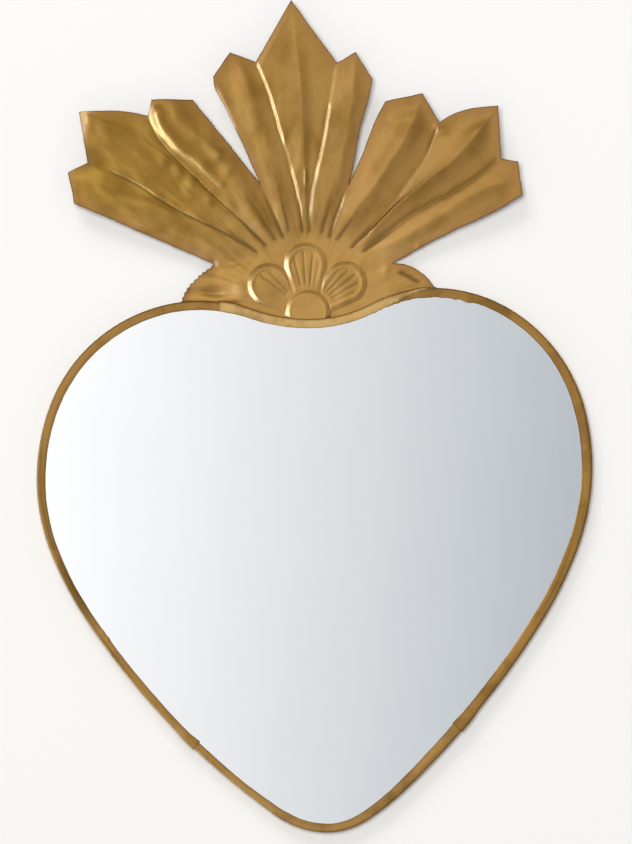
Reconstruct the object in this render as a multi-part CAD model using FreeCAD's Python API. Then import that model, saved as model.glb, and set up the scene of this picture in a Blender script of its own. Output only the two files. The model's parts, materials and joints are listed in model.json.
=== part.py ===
# Heart-shaped wall mirror with an embossed brass crest, as an assembly of separate pieces.
# Millimetres. +X right, +Z up, the front looks along -Y and the wall is the plane y = 0.
# The origin is where the top of the hanging ring bears on its wall hook, on the wall plane.
import FreeCAD
import Part
import math
import os
from collections import namedtuple

# Sheet, glass and board
SHEET = 0.5              # brass sheet of the crest, channel strips and strap
GLASS = 3.0
BOARD = 3.0
PLATE = 0.5              # tinplate back
EDGE_GAP = 0.3           # edges of glass, board and plate to the channel's wall
SOLDER_GAP = 0.1         # film between two soldered sheets
BEAD_GAP = 0.05          # bead of solder to the curved wall it wets

# Heart outline, outside of the rim, as the turning points of each side.
# Outs are from the dip or the tip, ins are from the widest point, slopes are degrees from level.
HEART_WIDTH = 305.0
DIP_TO_TIP = 282.0
DIP_X = -2.5
TIP_X = 6.0
SIDE_FIELDS = (
    "lobe_out lobe_rise shoulder_in shoulder_drop shoulder_slope widest_drop "
    "flank_in flank_rise flank_slope foot_out foot_rise foot_slope"
)
Side = namedtuple("Side", SIDE_FIELDS)
LEFT_SIDE = Side(
    lobe_out=60.0, lobe_rise=10.0,
    shoulder_in=27.5, shoulder_drop=26.0, shoulder_slope=45.0,
    widest_drop=88.0,
    flank_in=28.2, flank_rise=115.0, flank_slope=56.0,
    foot_out=53.0, foot_rise=29.0, foot_slope=39.5,
)
RIGHT_SIDE = Side(
    lobe_out=69.0, lobe_rise=17.2,
    shoulder_in=23.0, shoulder_drop=30.0, shoulder_slope=49.5,
    widest_drop=81.0,
    flank_in=28.0, flank_rise=115.5, flank_slope=58.0,
    foot_out=44.5, foot_rise=23.7, foot_slope=43.0,
)

# Channel strips of the rim
FRONT_LIP = 4.6
REAR_LIP = 4.0
LAP_LENGTH = 8.0         # how far one strip's end runs over the next
LAP_ROOT = 2.0           # length over which the widened end grows out of its strip
BUTT_GAP = 0.4           # between the ends of two strips, under the lap
LAP_LEFT_OF_DIP = 42.5   # along the rim
LAP_RIGHT_OF_DIP = 64.0
LAP_LEFT_OF_TIP = 95.0
LAP_RIGHT_OF_TIP = 104.0
BAND_REACH = 15.0        # half width of the band that cuts a length out of the rim
BAND_STEP = 6.0

# Hanging ring and its strap
WIRE_R = 1.0
RING_HALF_WIDTH = 9.0    # to the wire's centreline
RING_CORNER = 3.0
BAR_ABOVE_DIP = 5.0
KNUCKLE_CLEARANCE = 0.06
CURL_GAP = 0.4
STRAP_WIDTH = 9.0
STRAP_TAIL = 30.0
NOTCH_CLEARANCE = 0.3
STRAP_BEAD = 1.2         # width of the fillets beside the strap
STRAP_BEAD_HEIGHT = 0.42

# Crest. Points are measured from the centre of the boss, x then z.
CREST_STANDOFF = 4.0     # wall to the back of the crest's flat base
BOSS_ABOVE_DIP = 4.0
BOSS_LEFT_OF_DIP = 0.7
BOSS_R = 12.6
BOSS_RISE = 2.2
PETAL_ANGLES = (145.0, 93.0, 38.0)
PETAL_REACH = 26.3
PETAL_R = 11.7
PETAL_NECK = 5.0
PETAL_RISE = 1.7
ROOT_R = 41.0            # flutes run out into the flat base here
LEAN = 4.0               # degrees that the fan leans away from the wall
KNEE = 0.8               # share of a ridge's length at its highest point
TIP_SHARE = 0.3          # share of a ridge's rise left at its end
LEFT_LEAF = ((-51.0, 25.5), (-64.0, 16.0), (-70.5, 3.0))
RIGHT_LEAF = ((47.5, 27.0), (62.5, 21.5), (71.0, 11.0))
LEAF_ROOT = 8.0          # how far the leaves' outlines run on below the rim before they are trimmed
TAB_CENTRES = (-62.0, -33.0, -16.0, 18.0, 36.0, 54.0)
TAB_WIDTH = 8.0
TAB_END = 1.2            # wall to the end of a tab
TAB_BEAD = 0.8

# The fan's fold lines from left to right: angle of the root, end point and rise of the fold.
# A slit has two ends, with the point where it starts between them. A corner is an extra one on
# the cut end at the fold's right.
Fold = namedtuple("Fold", "angle end rise other_end split corner", defaults=(0.0, None, None, None))
FOLDS = (
    Fold(None, (-128.5, 59.5)),
    Fold(148.0, (-130.5, 69.5), 3.2, corner=(-132.0, 76.5)),
    Fold(140.0, (-121.0, 82.0)),
    Fold(133.0, (-126.0, 110.0), 4.2),
    Fold(126.0, (-88.0, 108.0), corner=(-86.0, 116.5)),
    Fold(119.0, (-75.0, 117.0), 4.0),
    Fold(108.0, (-63.5, 116.5), 0.0, (-52.5, 129.5), (-27.5, 72.0)),
    Fold(99.0, (-43.0, 142.5), 3.4),
    Fold(95.0, (-28.5, 137.5)),
    Fold(91.5, (-9.5, 171.5), 5.4),
    Fold(88.0, (16.0, 137.0)),
    Fold(83.0, (26.5, 143.0), 3.4),
    Fold(74.0, (36.0, 127.5), 0.0, (42.5, 116.0), (22.5, 69.5)),
    Fold(65.0, (63.0, 120.0), 4.2),
    Fold(58.0, (73.0, 103.5), corner=(86.0, 111.0)),
    Fold(51.0, (105.0, 113.5), 4.4),
    Fold(44.0, (107.0, 84.0), corner=(115.5, 82.5)),
    Fold(37.0, (116.5, 73.5), 3.0),
    Fold(None, (118.0, 64.0)),
)

# Depths through the assembly, worked out from the wall forwards
PLATE_FRONT = -SHEET - PLATE
BOARD_FRONT = PLATE_FRONT - BOARD
GLASS_FRONT = BOARD_FRONT - GLASS
RIM_FRONT = GLASS_FRONT - SHEET
LAP_FRONT = RIM_FRONT - SOLDER_GAP - SHEET
CREST_BACK = -CREST_STANDOFF
CREST_FRONT = CREST_BACK - SHEET

# Heights, worked out from the hanging point downwards
KNUCKLE_BORE_R = WIRE_R + KNUCKLE_CLEARANCE
KNUCKLE_R = KNUCKLE_BORE_R + SHEET
BAR_Y = -KNUCKLE_R
BAR_Z = WIRE_R - RING_HALF_WIDTH - RING_CORNER
DIP_Z = BAR_Z - BAR_ABOVE_DIP
TIP_Z = DIP_Z - DIP_TO_TIP
BOSS = FreeCAD.Vector(DIP_X - BOSS_LEFT_OF_DIP, 0, DIP_Z + BOSS_ABOVE_DIP)

Arc = namedtuple("Arc", "start tangent end half_turn length")
Station = namedtuple("Station", "point normal")


def flat(x, z):
    """A point or direction in the plane of the wall."""
    return FreeCAD.Vector(x, 0, z)


def at_depth(point, y):
    return FreeCAD.Vector(point.x, y, point.z)


def turned(v, angle):
    """A direction turned anticlockwise, as seen from the front."""
    c = math.cos(angle)
    s = math.sin(angle)
    return flat(c * v.x - s * v.z, s * v.x + c * v.z)


def arc_to(start, tangent, end):
    chord = end - start
    cross = tangent.x * chord.z - tangent.z * chord.x
    half_turn = math.atan2(cross, tangent.dot(chord))
    length = chord.Length
    if abs(half_turn) > 1e-9:
        length = chord.Length * half_turn / math.sin(half_turn)
    return Arc(start, tangent, end, half_turn, length)


def biarc(start, tangent, end, end_tangent):
    """Two arcs that join two points, tangent to a direction at each and to one another."""
    v = end - start
    both = tangent + end_tangent
    spread = 1 - tangent.dot(end_tangent)
    if spread < 1e-9:
        reach = v.dot(v) / (4 * v.dot(end_tangent))
    else:
        reach = (math.sqrt(v.dot(both) ** 2 + 2 * spread * v.dot(v)) - v.dot(both)) / (2 * spread)
    joint = (start + end + (tangent - end_tangent) * reach) * 0.5
    first = arc_to(start, tangent, joint)
    return [first, arc_to(joint, turned(tangent, 2 * first.half_turn), end)]


def side_knots(side, hand):
    """The turning points of one side from lobe to foot, each with its heading.
    The hand is 1 for the right side and -1 for the left."""
    widest_x = HEART_WIDTH / 2
    lobe_z = DIP_Z + side.lobe_rise
    rows = [
        (hand * DIP_X + side.lobe_out, lobe_z, 0.0),
        (widest_x - side.shoulder_in, lobe_z - side.shoulder_drop, side.shoulder_slope),
        (widest_x, DIP_Z - side.widest_drop, 90.0),
        (widest_x - side.flank_in, TIP_Z + side.flank_rise, 180.0 - side.flank_slope),
        (hand * TIP_X + side.foot_out, TIP_Z + side.foot_rise, 180.0 - side.foot_slope),
    ]
    knots = []
    for out, z, fall in rows:
        angle = math.radians(fall)
        knots.append((flat(hand * out, z), flat(hand * math.cos(angle), -math.sin(angle))))
    return knots


def heart_arcs():
    """The outline clockwise from the dip, as tangent arcs through the heart's turning points."""
    across = flat(1, 0)
    left = [(point, heading * -1) for point, heading in side_knots(LEFT_SIDE, -1)]
    knots = [(flat(DIP_X, DIP_Z), across)] + side_knots(RIGHT_SIDE, 1)
    knots += [(flat(TIP_X, TIP_Z), across * -1)] + left[::-1]
    arcs = []
    for (start, tangent), (end, end_tangent) in zip(knots, knots[1:] + knots[:1]):
        arcs.extend(biarc(start, tangent, end, end_tangent))
    return arcs


HEART = heart_arcs()
HEART_LENGTH = sum(arc.length for arc in HEART)
TIP_STATION = sum(arc.length for arc in HEART[: len(HEART) // 2])


def along(arc, share):
    """The point a share of the way along an arc, and the outward normal there."""
    turn = share * arc.half_turn
    chord = arc.length * share
    if abs(turn) > 1e-9:
        chord *= math.sin(turn) / turn
    point = arc.start + turned(arc.tangent, turn) * chord
    return Station(point, turned(arc.tangent, 2 * turn + math.pi / 2))


def station(distance):
    """The point on the heart at a distance from the dip, clockwise."""
    left = distance % HEART_LENGTH
    for arc in HEART:
        if left <= arc.length:
            return along(arc, left / arc.length)
        left -= arc.length
    return along(HEART[-1], 1.0)


def outline(offset):
    """The heart's outline moved outwards by an offset, as a closed wire."""
    edges = []
    for arc in HEART:
        places = [along(arc, share) for share in (0.0, 0.5, 1.0)]
        edges.append(Part.Arc(*[place.point + place.normal * offset for place in places]).toShape())
    return Part.Wire(edges)


def prism(wire, front, rear):
    """A wire in the plane y = 0, filled and run through from one depth to another."""
    face = Part.Face(wire)
    face.translate(FreeCAD.Vector(0, front, 0))
    return face.extrude(FreeCAD.Vector(0, rear - front, 0))


def slab(offset, front, rear):
    return prism(outline(offset), front, rear)


def hoop(inner, outer, front, rear):
    """A closed band round the heart between two offsets."""
    return slab(outer, front, rear).cut(slab(inner, front, rear))


def polygon(points):
    return Part.makePolygon(list(points) + [points[0]])


def band(start, end):
    """A block that follows the rim between two distances and holds everything near it there."""
    steps = max(2, math.ceil(abs(end - start) / BAND_STEP))
    places = [station(start + (end - start) * i / steps) for i in range(steps + 1)]
    outside = [place.point + place.normal * BAND_REACH for place in places]
    inside = [place.point - place.normal * BAND_REACH for place in places]
    return prism(polygon(outside + inside[::-1]), LAP_FRONT - BAND_REACH, BAND_REACH)


def box(low, high):
    size = [b - a for a, b in zip(low, high)]
    return Part.makeBox(*size, FreeCAD.Vector(*low))


def rod(radius, start, end):
    """A cylinder between two points."""
    axis = end - start
    return Part.makeCylinder(radius, axis.Length, start, axis)


def fused(shapes):
    whole = shapes[0]
    if len(shapes) > 1:
        whole = whole.multiFuse(shapes[1:]).removeSplitter()
    return whole.Solids[0] if len(whole.Solids) == 1 else whole


def channel():
    """The whole rim in one ring: front lip, wall and rear lip, before it is cut into strips."""
    ring = slab(0, RIM_FRONT, 0)
    ring = ring.cut(slab(-SHEET, RIM_FRONT + SHEET, -SHEET))
    ring = ring.cut(slab(-FRONT_LIP, RIM_FRONT, RIM_FRONT + SHEET))
    return ring.cut(slab(-REAR_LIP, -SHEET, 0))


def widened_end(lap, toward):
    """The end of a strip that runs over its neighbour, beyond a lap, in the direction of travel.
    It covers the wall and the front lip. The rear lip is snipped short, so the back stays flat."""
    rear = -SHEET - SOLDER_GAP
    over = hoop(SOLDER_GAP, SOLDER_GAP + SHEET, LAP_FRONT, rear)
    over = over.fuse(hoop(-FRONT_LIP, SOLDER_GAP + SHEET, LAP_FRONT, LAP_FRONT + SHEET))
    root = hoop(-SHEET, SOLDER_GAP + SHEET, LAP_FRONT, rear)
    root = root.fuse(hoop(-FRONT_LIP, SOLDER_GAP + SHEET, LAP_FRONT, RIM_FRONT + SHEET))
    root_start = lap - toward * (LAP_ROOT + BUTT_GAP / 2)
    root_end = lap - toward * BUTT_GAP / 2
    lap_end = lap + toward * LAP_LENGTH
    return [root.common(band(root_start, root_end)), over.common(band(root_end, lap_end))]


LAP_STATIONS = {
    "dip_left": -LAP_LEFT_OF_DIP,
    "dip_right": LAP_RIGHT_OF_DIP,
    "tip_right": TIP_STATION - LAP_RIGHT_OF_TIP,
    "tip_left": TIP_STATION + LAP_LEFT_OF_TIP,
}
# Which way each lap's upper strip runs over the lower one, clockwise being positive
LAP_DIRECTIONS = {"dip_left": -1, "dip_right": 1, "tip_right": 1, "tip_left": -1}


def rim_strips():
    ring = channel()
    full = HEART_LENGTH
    spans = {
        "rim_dip_strip": ("dip_left", "dip_right", 0),
        "rim_right_strip": ("dip_right", "tip_right", 0),
        "rim_bottom_strip": ("tip_right", "tip_left", 0),
        "rim_left_strip": ("tip_left", "dip_left", full),
    }
    owners = {
        "rim_dip_strip": ("dip_left", "dip_right"),
        "rim_right_strip": ("tip_right",),
        "rim_bottom_strip": (),
        "rim_left_strip": ("tip_left",),
    }
    strips = {}
    for name, (first, last, lap_of_turn) in spans.items():
        start = LAP_STATIONS[first] + BUTT_GAP / 2
        end = LAP_STATIONS[last] + lap_of_turn - BUTT_GAP / 2
        pieces = [ring.common(band(start, end))]
        for lap in owners[name]:
            pieces.extend(widened_end(LAP_STATIONS[lap], LAP_DIRECTIONS[lap]))
        strips[name] = fused(pieces)
    strips["rim_dip_strip"] = strips["rim_dip_strip"].cut(strap_notch()).Solids[0]
    return strips


def strap_notch():
    """The gap snipped in the rear lip for the hanging strap."""
    half = STRAP_WIDTH / 2 + NOTCH_CLEARANCE
    depth = -SHEET - SOLDER_GAP
    return box((-half, depth, DIP_Z - REAR_LIP - BAND_REACH), (half, BAND_REACH, DIP_Z + BAND_REACH))


def lap_solder():
    """A bead across the wall at the free end of each lap."""
    beads = []
    for lap, place in LAP_STATIONS.items():
        edge = place + LAP_DIRECTIONS[lap] * LAP_LENGTH
        bead_end = edge + LAP_DIRECTIONS[lap] * TAB_BEAD
        skin = hoop(BEAD_GAP, SOLDER_GAP + SHEET, RIM_FRONT + SHEET, -SHEET - SOLDER_GAP)
        beads.append(skin.common(band(edge, bead_end)).Solids[0])
    return Part.makeCompound(beads)


def on_crest(point):
    """A point of the crest, given from the centre of the boss."""
    return BOSS + flat(*point)


def front_of(point, rise):
    """That point on the front of the leaning fan, pushed out by a rise."""
    place = on_crest(point)
    lean = math.tan(math.radians(LEAN)) * max(0.0, math.hypot(*point) - ROOT_R)
    return at_depth(place, CREST_FRONT - lean - rise)


def fan_roots():
    """Where each fold line runs out into the flat base."""
    roots = []
    for fold in FOLDS:
        if fold.angle is not None:
            angle = math.radians(fold.angle)
            roots.append((ROOT_R * math.cos(angle), ROOT_R * math.sin(angle)))
    roots = [LEFT_LEAF[0]] + roots + [RIGHT_LEAF[0]]
    return [at_depth(on_crest(root), CREST_FRONT) for root in roots]


def fold_points(fold, root, from_left):
    """The points of a fold line from its root outwards, as the panel at one side of it sees them."""
    if fold.split:
        end = fold.other_end if from_left else fold.end
        return [root, front_of(fold.split, 0), front_of(end, 0)]
    end = front_of(fold.end, fold.rise * TIP_SHARE)
    if not fold.rise:
        return [root, end]
    knee = root + (front_of(fold.end, 0) - root) * KNEE - FreeCAD.Vector(0, fold.rise, 0)
    return [root, knee, end]


def panel_triangles(left, right, corner):
    """Flat triangles between two fold lines, stitched from the root outwards."""
    triangles = []
    i = 0
    j = 0
    while i < len(left) - 1 or j < len(right) - 1:
        step_left = (i + 1) / len(left) <= (j + 1) / len(right)
        if j == len(right) - 1 or (step_left and i < len(left) - 1):
            triangles.append((left[i], left[i + 1], right[j]))
            i += 1
        else:
            triangles.append((left[i], right[j + 1], right[j]))
            j += 1
    if corner:
        triangles.append((left[-1], corner, right[-1]))
    return triangles


def fan_triangles():
    roots = fan_roots()
    triangles = []
    for i in range(len(FOLDS) - 1):
        left = fold_points(FOLDS[i], roots[i], True)
        right = fold_points(FOLDS[i + 1], roots[i + 1], False)
        corner = None
        if FOLDS[i].corner:
            corner = front_of(FOLDS[i].corner, (FOLDS[i].rise + FOLDS[i + 1].rise) * TIP_SHARE / 2)
        triangles.extend(panel_triangles(left, right, corner))
    return triangles


def fan():
    """The folded sheet as one solid.
    Its faces are the triangles, the same set back by the sheet's thickness, and the edges."""
    back = FreeCAD.Vector(0, SHEET, 0)
    faces = []
    uses = {}
    for triangle in fan_triangles():
        faces.append(Part.Face(polygon(triangle)))
        faces.append(Part.Face(polygon([point + back for point in triangle])))
        for a, b in zip(triangle, triangle[1:] + triangle[:1]):
            key = frozenset((tuple(a), tuple(b)))
            uses.setdefault(key, []).append((a, b))
    for sides in uses.values():
        if len(sides) == 1:
            a, b = sides[0]
            faces.append(Part.Face(polygon([a, b, b + back, a + back])))
    solid = Part.Solid(Part.makeShell(faces))
    if solid.Volume < 0:
        solid.reverse()
    return solid


def crest_base():
    """The flat sheet between the fan, the two leaves and the rim, before it is trimmed to the rim."""
    roots = [at_depth(root, 0) for root in fan_roots()]
    left = [on_crest(point) for point in LEFT_LEAF]
    right = [on_crest(point) for point in RIGHT_LEAF]
    down = flat(0, -LEAF_ROOT)
    foot = flat(DIP_X, DIP_Z) + down * 2
    edges = [
        Part.Arc(*left).toShape(),
        Part.makePolygon([left[-1], left[-1] + down, foot, right[-1] + down, right[-1]]),
        Part.Arc(*right[::-1]).toShape(),
        Part.makePolygon(roots[::-1]),
    ]
    loose = []
    for edge in edges:
        loose.extend(edge.Edges)
    return prism(Part.Wire(Part.__sortEdges__(loose)), CREST_FRONT, CREST_BACK)


def petal(radius, neck, angle, front):
    """A petal's block from the back of the sheet to a depth in front: a round end tapering to the boss."""
    direction = turned(flat(1, 0), math.radians(angle))
    side = turned(direction, math.pi / 2)
    end = BOSS + direction * PETAL_REACH
    taper = polygon([BOSS + side * neck, end + side * radius, end - side * radius, BOSS - side * neck])
    start = at_depth(end, front)
    return rod(radius, start, at_depth(end, CREST_BACK)).fuse(prism(taper, front, CREST_BACK))


def shell(inset):
    """The boss and the petals, drawn in by an inset all over.
    An inset of 0 is the outside, and the sheet's thickness is the hollow."""
    boss_front = CREST_FRONT - BOSS_RISE + inset
    petal_front = CREST_FRONT - PETAL_RISE + inset
    blocks = [rod(BOSS_R - inset, at_depth(BOSS, boss_front), at_depth(BOSS, CREST_BACK))]
    for angle in PETAL_ANGLES:
        blocks.append(petal(PETAL_R - inset, PETAL_NECK - inset, angle, petal_front))
    return fused(blocks)


def tab_band(centre):
    return band(centre - TAB_WIDTH / 2, centre + TAB_WIDTH / 2)


def crest():
    """One embossed sheet: fan, leaves and shell, with snipped tabs bent back along the rim."""
    sheet = fused([fan(), crest_base(), shell(0)])
    sheet = sheet.cut(shell(SHEET))
    sheet = sheet.cut(slab(SOLDER_GAP, CREST_FRONT - BAND_REACH, 0))
    skin = hoop(SOLDER_GAP, SOLDER_GAP + SHEET, CREST_FRONT, -TAB_END)
    tabs = [skin.common(tab_band(centre)) for centre in TAB_CENTRES]
    sheet = fused([sheet] + tabs)
    for lap in ("dip_left", "dip_right"):
        room = slab(SHEET + 2 * SOLDER_GAP, CREST_FRONT - BAND_REACH, 0)
        start = LAP_STATIONS[lap] - LAP_DIRECTIONS[lap] * (LAP_ROOT + BUTT_GAP)
        end = LAP_STATIONS[lap] + LAP_DIRECTIONS[lap] * (LAP_LENGTH + 2 * TAB_BEAD)
        sheet = sheet.cut(room.common(band(start, end)))
    return sheet.Solids[0]


def crest_solder():
    """A bead at the end of each of the crest's tabs, on the rim's wall."""
    skin = hoop(BEAD_GAP, SOLDER_GAP + SHEET, -TAB_END, TAB_BEAD - TAB_END)
    return Part.makeCompound([skin.common(tab_band(centre)).Solids[0] for centre in TAB_CENTRES])


def hanger_strap():
    """A strip soldered to the back plate, its upper end curled round the ring's bar."""
    half = STRAP_WIDTH / 2
    left = FreeCAD.Vector(-half, BAR_Y, BAR_Z)
    right = FreeCAD.Vector(half, BAR_Y, BAR_Z)
    curl = rod(KNUCKLE_R, left, right)
    gap_front = -SHEET - CURL_GAP
    curl = curl.cut(box((-half, gap_front, BAR_Z - KNUCKLE_R), (half, 0, BAR_Z)))
    tail = box((-half, -SHEET, BAR_Z - STRAP_TAIL), (half, 0, BAR_Z))
    return fused([curl, tail]).cut(rod(KNUCKLE_BORE_R, left, right)).Solids[0]


def strap_solder():
    """A fillet down each side of the strap, on the back plate."""
    top = DIP_Z - REAR_LIP - 2 * NOTCH_CLEARANCE
    length = top - (BAR_Z - STRAP_TAIL)
    fillets = []
    for side in (-1, 1):
        x = side * STRAP_WIDTH / 2
        corner = FreeCAD.Vector(x, -SHEET, top)
        toe = FreeCAD.Vector(x + side * STRAP_BEAD, -SHEET, top)
        crown = FreeCAD.Vector(x, STRAP_BEAD_HEIGHT - SHEET, top)
        fillets.append(Part.Face(polygon([corner, toe, crown])).extrude(flat(0, -length)))
    return Part.makeCompound(fillets)


def hanger_ring():
    """A wire bent to a D: a straight bar in the strap's curl, two rounded corners and a half circle."""
    side = RING_HALF_WIDTH
    bar = side - RING_CORNER
    shoulder = BAR_Z + RING_CORNER
    near = RING_CORNER * (1 - math.sqrt(0.5))
    bend = side - near
    low = BAR_Z + near

    def at(x, z):
        return FreeCAD.Vector(x, BAR_Y, z)

    path = Part.Wire([
        Part.LineSegment(at(0, BAR_Z), at(bar, BAR_Z)).toShape(),
        Part.Arc(at(bar, BAR_Z), at(bend, low), at(side, shoulder)).toShape(),
        Part.Arc(at(side, shoulder), at(0, shoulder + side), at(-side, shoulder)).toShape(),
        Part.Arc(at(-side, shoulder), at(-bend, low), at(-bar, BAR_Z)).toShape(),
        Part.LineSegment(at(-bar, BAR_Z), at(0, BAR_Z)).toShape(),
    ])
    section = Part.Wire([Part.makeCircle(WIRE_R, at(0, BAR_Z), FreeCAD.Vector(1, 0, 0))])
    return path.makePipeShell([section], True, True)


def pieces():
    inside = -SHEET - EDGE_GAP
    made = {
        "crest": crest(),
        "mirror_glass": slab(inside, GLASS_FRONT, BOARD_FRONT),
        "backing_board": slab(inside, BOARD_FRONT, PLATE_FRONT),
        "back_plate": slab(inside, PLATE_FRONT, -SHEET),
        "hanger_strap": hanger_strap(),
        "hanger_ring": hanger_ring(),
        "crest_solder": crest_solder(),
        "lap_solder": lap_solder(),
        "strap_solder": strap_solder(),
    }
    made.update(rim_strips())
    return made


def main():
    os.makedirs("parts", exist_ok=True)
    for name, shape in sorted(pieces().items()):
        shape.exportStep(f"parts/{name}.step")
        print(f"{name}: {len(shape.Solids)} solids, {shape.Volume:.1f} mm3, valid {shape.isValid()}")


main()
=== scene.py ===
# %% [markdown]
# # A heart-shaped mirror with an embossed brass crest
# On the bench this mirror is thin brass sheet cut with snips. A crest of nine flutes is chased
# with a punch and a hammer, and four folded strips hold a silvered heart and its backing.
# The CAD model already holds every true size and place, so it is loaded as a fixed frame.
# The pieces that a hammer shaped are then made again here, with their dents and cut edges.

# %% Load the frame
import json
import math

import bmesh
import bpy
import numpy as np
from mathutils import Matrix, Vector, kdtree, noise

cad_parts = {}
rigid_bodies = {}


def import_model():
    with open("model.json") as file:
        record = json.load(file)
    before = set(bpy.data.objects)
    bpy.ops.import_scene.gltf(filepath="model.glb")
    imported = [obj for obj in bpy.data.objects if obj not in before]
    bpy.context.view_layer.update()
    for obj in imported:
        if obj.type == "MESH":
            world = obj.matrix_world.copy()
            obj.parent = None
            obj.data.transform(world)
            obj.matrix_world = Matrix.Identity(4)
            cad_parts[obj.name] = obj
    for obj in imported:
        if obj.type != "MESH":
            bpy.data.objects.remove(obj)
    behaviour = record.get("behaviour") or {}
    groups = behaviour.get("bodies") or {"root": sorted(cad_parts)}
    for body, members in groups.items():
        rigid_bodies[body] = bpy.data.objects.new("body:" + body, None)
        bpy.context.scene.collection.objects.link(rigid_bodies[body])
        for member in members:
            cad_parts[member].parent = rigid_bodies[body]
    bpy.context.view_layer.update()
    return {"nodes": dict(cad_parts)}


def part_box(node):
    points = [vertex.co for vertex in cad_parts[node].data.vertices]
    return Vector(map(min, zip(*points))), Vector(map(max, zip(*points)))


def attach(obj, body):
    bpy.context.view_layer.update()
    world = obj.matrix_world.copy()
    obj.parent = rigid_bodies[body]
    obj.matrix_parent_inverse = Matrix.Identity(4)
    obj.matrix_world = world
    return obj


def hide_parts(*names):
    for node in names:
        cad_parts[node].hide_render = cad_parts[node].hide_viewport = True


for leftover in list(bpy.data.objects):
    bpy.data.objects.remove(leftover)
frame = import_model()
MM = 0.001


# %% [markdown]
# ## Small helpers
# Most forms below are a flat grid that is moved into place, as sheet metal is: the grid is the
# sheet, and a function says where each of its corners goes. A bmesh is worked in millimetres and
# shrunk to metres when it becomes a piece.

# %% Grids, ramps and pieces
SEED_STEP = 7.3


def clamp(value):
    return min(1.0, max(0.0, value))


def ramp(low, high, value):
    """0 below low, 1 above high, and an S curve between them."""
    share = clamp((value - low) / (high - low))
    return share * share * (3 - 2 * share)


def stretch(low, high, fade, value):
    """1 between low and high and 0 outside them, with a fade inside each end."""
    return ramp(low, low + fade, value) * ramp(high, high - fade, value)


def ripple(x, z, size, seed):
    """Smooth noise between about -1 and 1, with bumps of a size in millimetres."""
    return noise.noise(Vector((x / size, seed * SEED_STEP, z / size)))


def laid_grid(bm, columns, rows, place):
    """A grid of quads whose corner (i, j) goes to place(i, j)."""
    made = bmesh.ops.create_grid(bm, x_segments=columns, y_segments=rows, size=1.0)
    for vert in made["verts"]:
        i = round((vert.co.x + 1) / 2 * columns)
        j = round((vert.co.y + 1) / 2 * rows)
        vert.co = place(i, j)
    return made["verts"]


def add_object(name, data):
    """A new object in the scene, at the origin."""
    made = bpy.data.objects.new(name, data)
    bpy.context.scene.collection.objects.link(made)
    return made


SHARP_ANGLE = math.radians(55)
BACK_FACING = 0.3
ONE_SIDED = -1.0
BOTH_SIDES = 0.0


def face_front(bm):
    """Turns the faces of an open sheet so that its front looks away from the wall."""
    bmesh.ops.recalc_face_normals(bm, faces=bm.faces)
    if sum(face.normal.y * face.calc_area() for face in bm.faces) > 0:
        bmesh.ops.reverse_faces(bm, faces=bm.faces)


def thick_mesh(bm, name, thickness, offset):
    """The mesh of a sheet with its real thickness, sharp only along its cut edges."""
    bmesh.ops.scale(bm, vec=(MM, MM, MM), verts=bm.verts)
    mesh = bpy.data.meshes.new(name)
    bm.to_mesh(mesh)
    bm.free()
    if thickness:
        sheet = add_object(name + "_sheet", mesh)
        wall = sheet.modifiers.new("thickness", "SOLIDIFY")
        wall.thickness = thickness * MM
        wall.offset = offset
        solid = sheet.evaluated_get(bpy.context.evaluated_depsgraph_get())
        mesh = bpy.data.meshes.new_from_object(solid)
        bpy.data.objects.remove(sheet)
    shaped = bmesh.new()
    shaped.from_mesh(mesh)
    for face in shaped.faces:
        face.smooth = True
    for edge in shaped.edges:
        edge.smooth = edge.calc_face_angle(0.0) < SHARP_ANGLE
    shaped.to_mesh(mesh)
    shaped.free()
    mesh.name = name
    return mesh


def finish_piece(bm, name, node, finishes, thickness=0.0, offset=ONE_SIDED):
    """Turns a bmesh in millimetres into a piece of the mirror that stands for a CAD node."""
    mesh = thick_mesh(bm, name, thickness, offset)
    mesh.materials.clear()
    for finish in finishes:
        mesh.materials.append(finish)
    for face in mesh.polygons:
        face.material_index = 1 if len(finishes) > 1 and face.normal.y > BACK_FACING else 0
    piece = add_object(name, mesh)
    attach(piece, "mirror")
    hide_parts(node)
    print(name, len(mesh.polygons), "faces")
    return piece


# %% [markdown]
# ## Colours and nodes
# Colours are written as sRGB hex, the way a paint program shows them. Blender works in linear
# light, so one function converts them. A second small function adds any node, sets its properties
# and fills its inputs with numbers or links, which keeps each material readable as a list.

# %% Colour and node helpers
def linear(colour):
    """An sRGB hex value as the linear RGBA that Blender works in."""
    levels = [int(colour[k:k + 2], 16) / 255 for k in (1, 3, 5)]
    return tuple(c / 12.92 if c <= 0.04045 else ((c + 0.055) / 1.055) ** 2.4 for c in levels) + (1.0,)


def node(tree, kind, inputs=None, **settings):
    """Adds a node. An input goes by name or number, and is a value, or a node or socket to link."""
    made = tree.nodes.new("ShaderNode" + kind)
    for key, value in settings.items():
        setattr(made, key, value)
    for key, value in (inputs or {}).items():
        if isinstance(value, bpy.types.Node):
            value = next(socket for socket in value.outputs if socket.enabled)
        if isinstance(value, bpy.types.NodeSocket):
            tree.links.new(value, made.inputs[key])
        else:
            made.inputs[key].default_value = value
    return made


def new_material(name):
    material = bpy.data.materials.new(name)
    material.use_nodes = True
    material.node_tree.nodes.clear()
    return material, material.node_tree


def per_mm(size):
    """The scale of a pattern whose repeat has a size in millimetres, on coordinates in metres."""
    return 1.0 / (size * MM)


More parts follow.
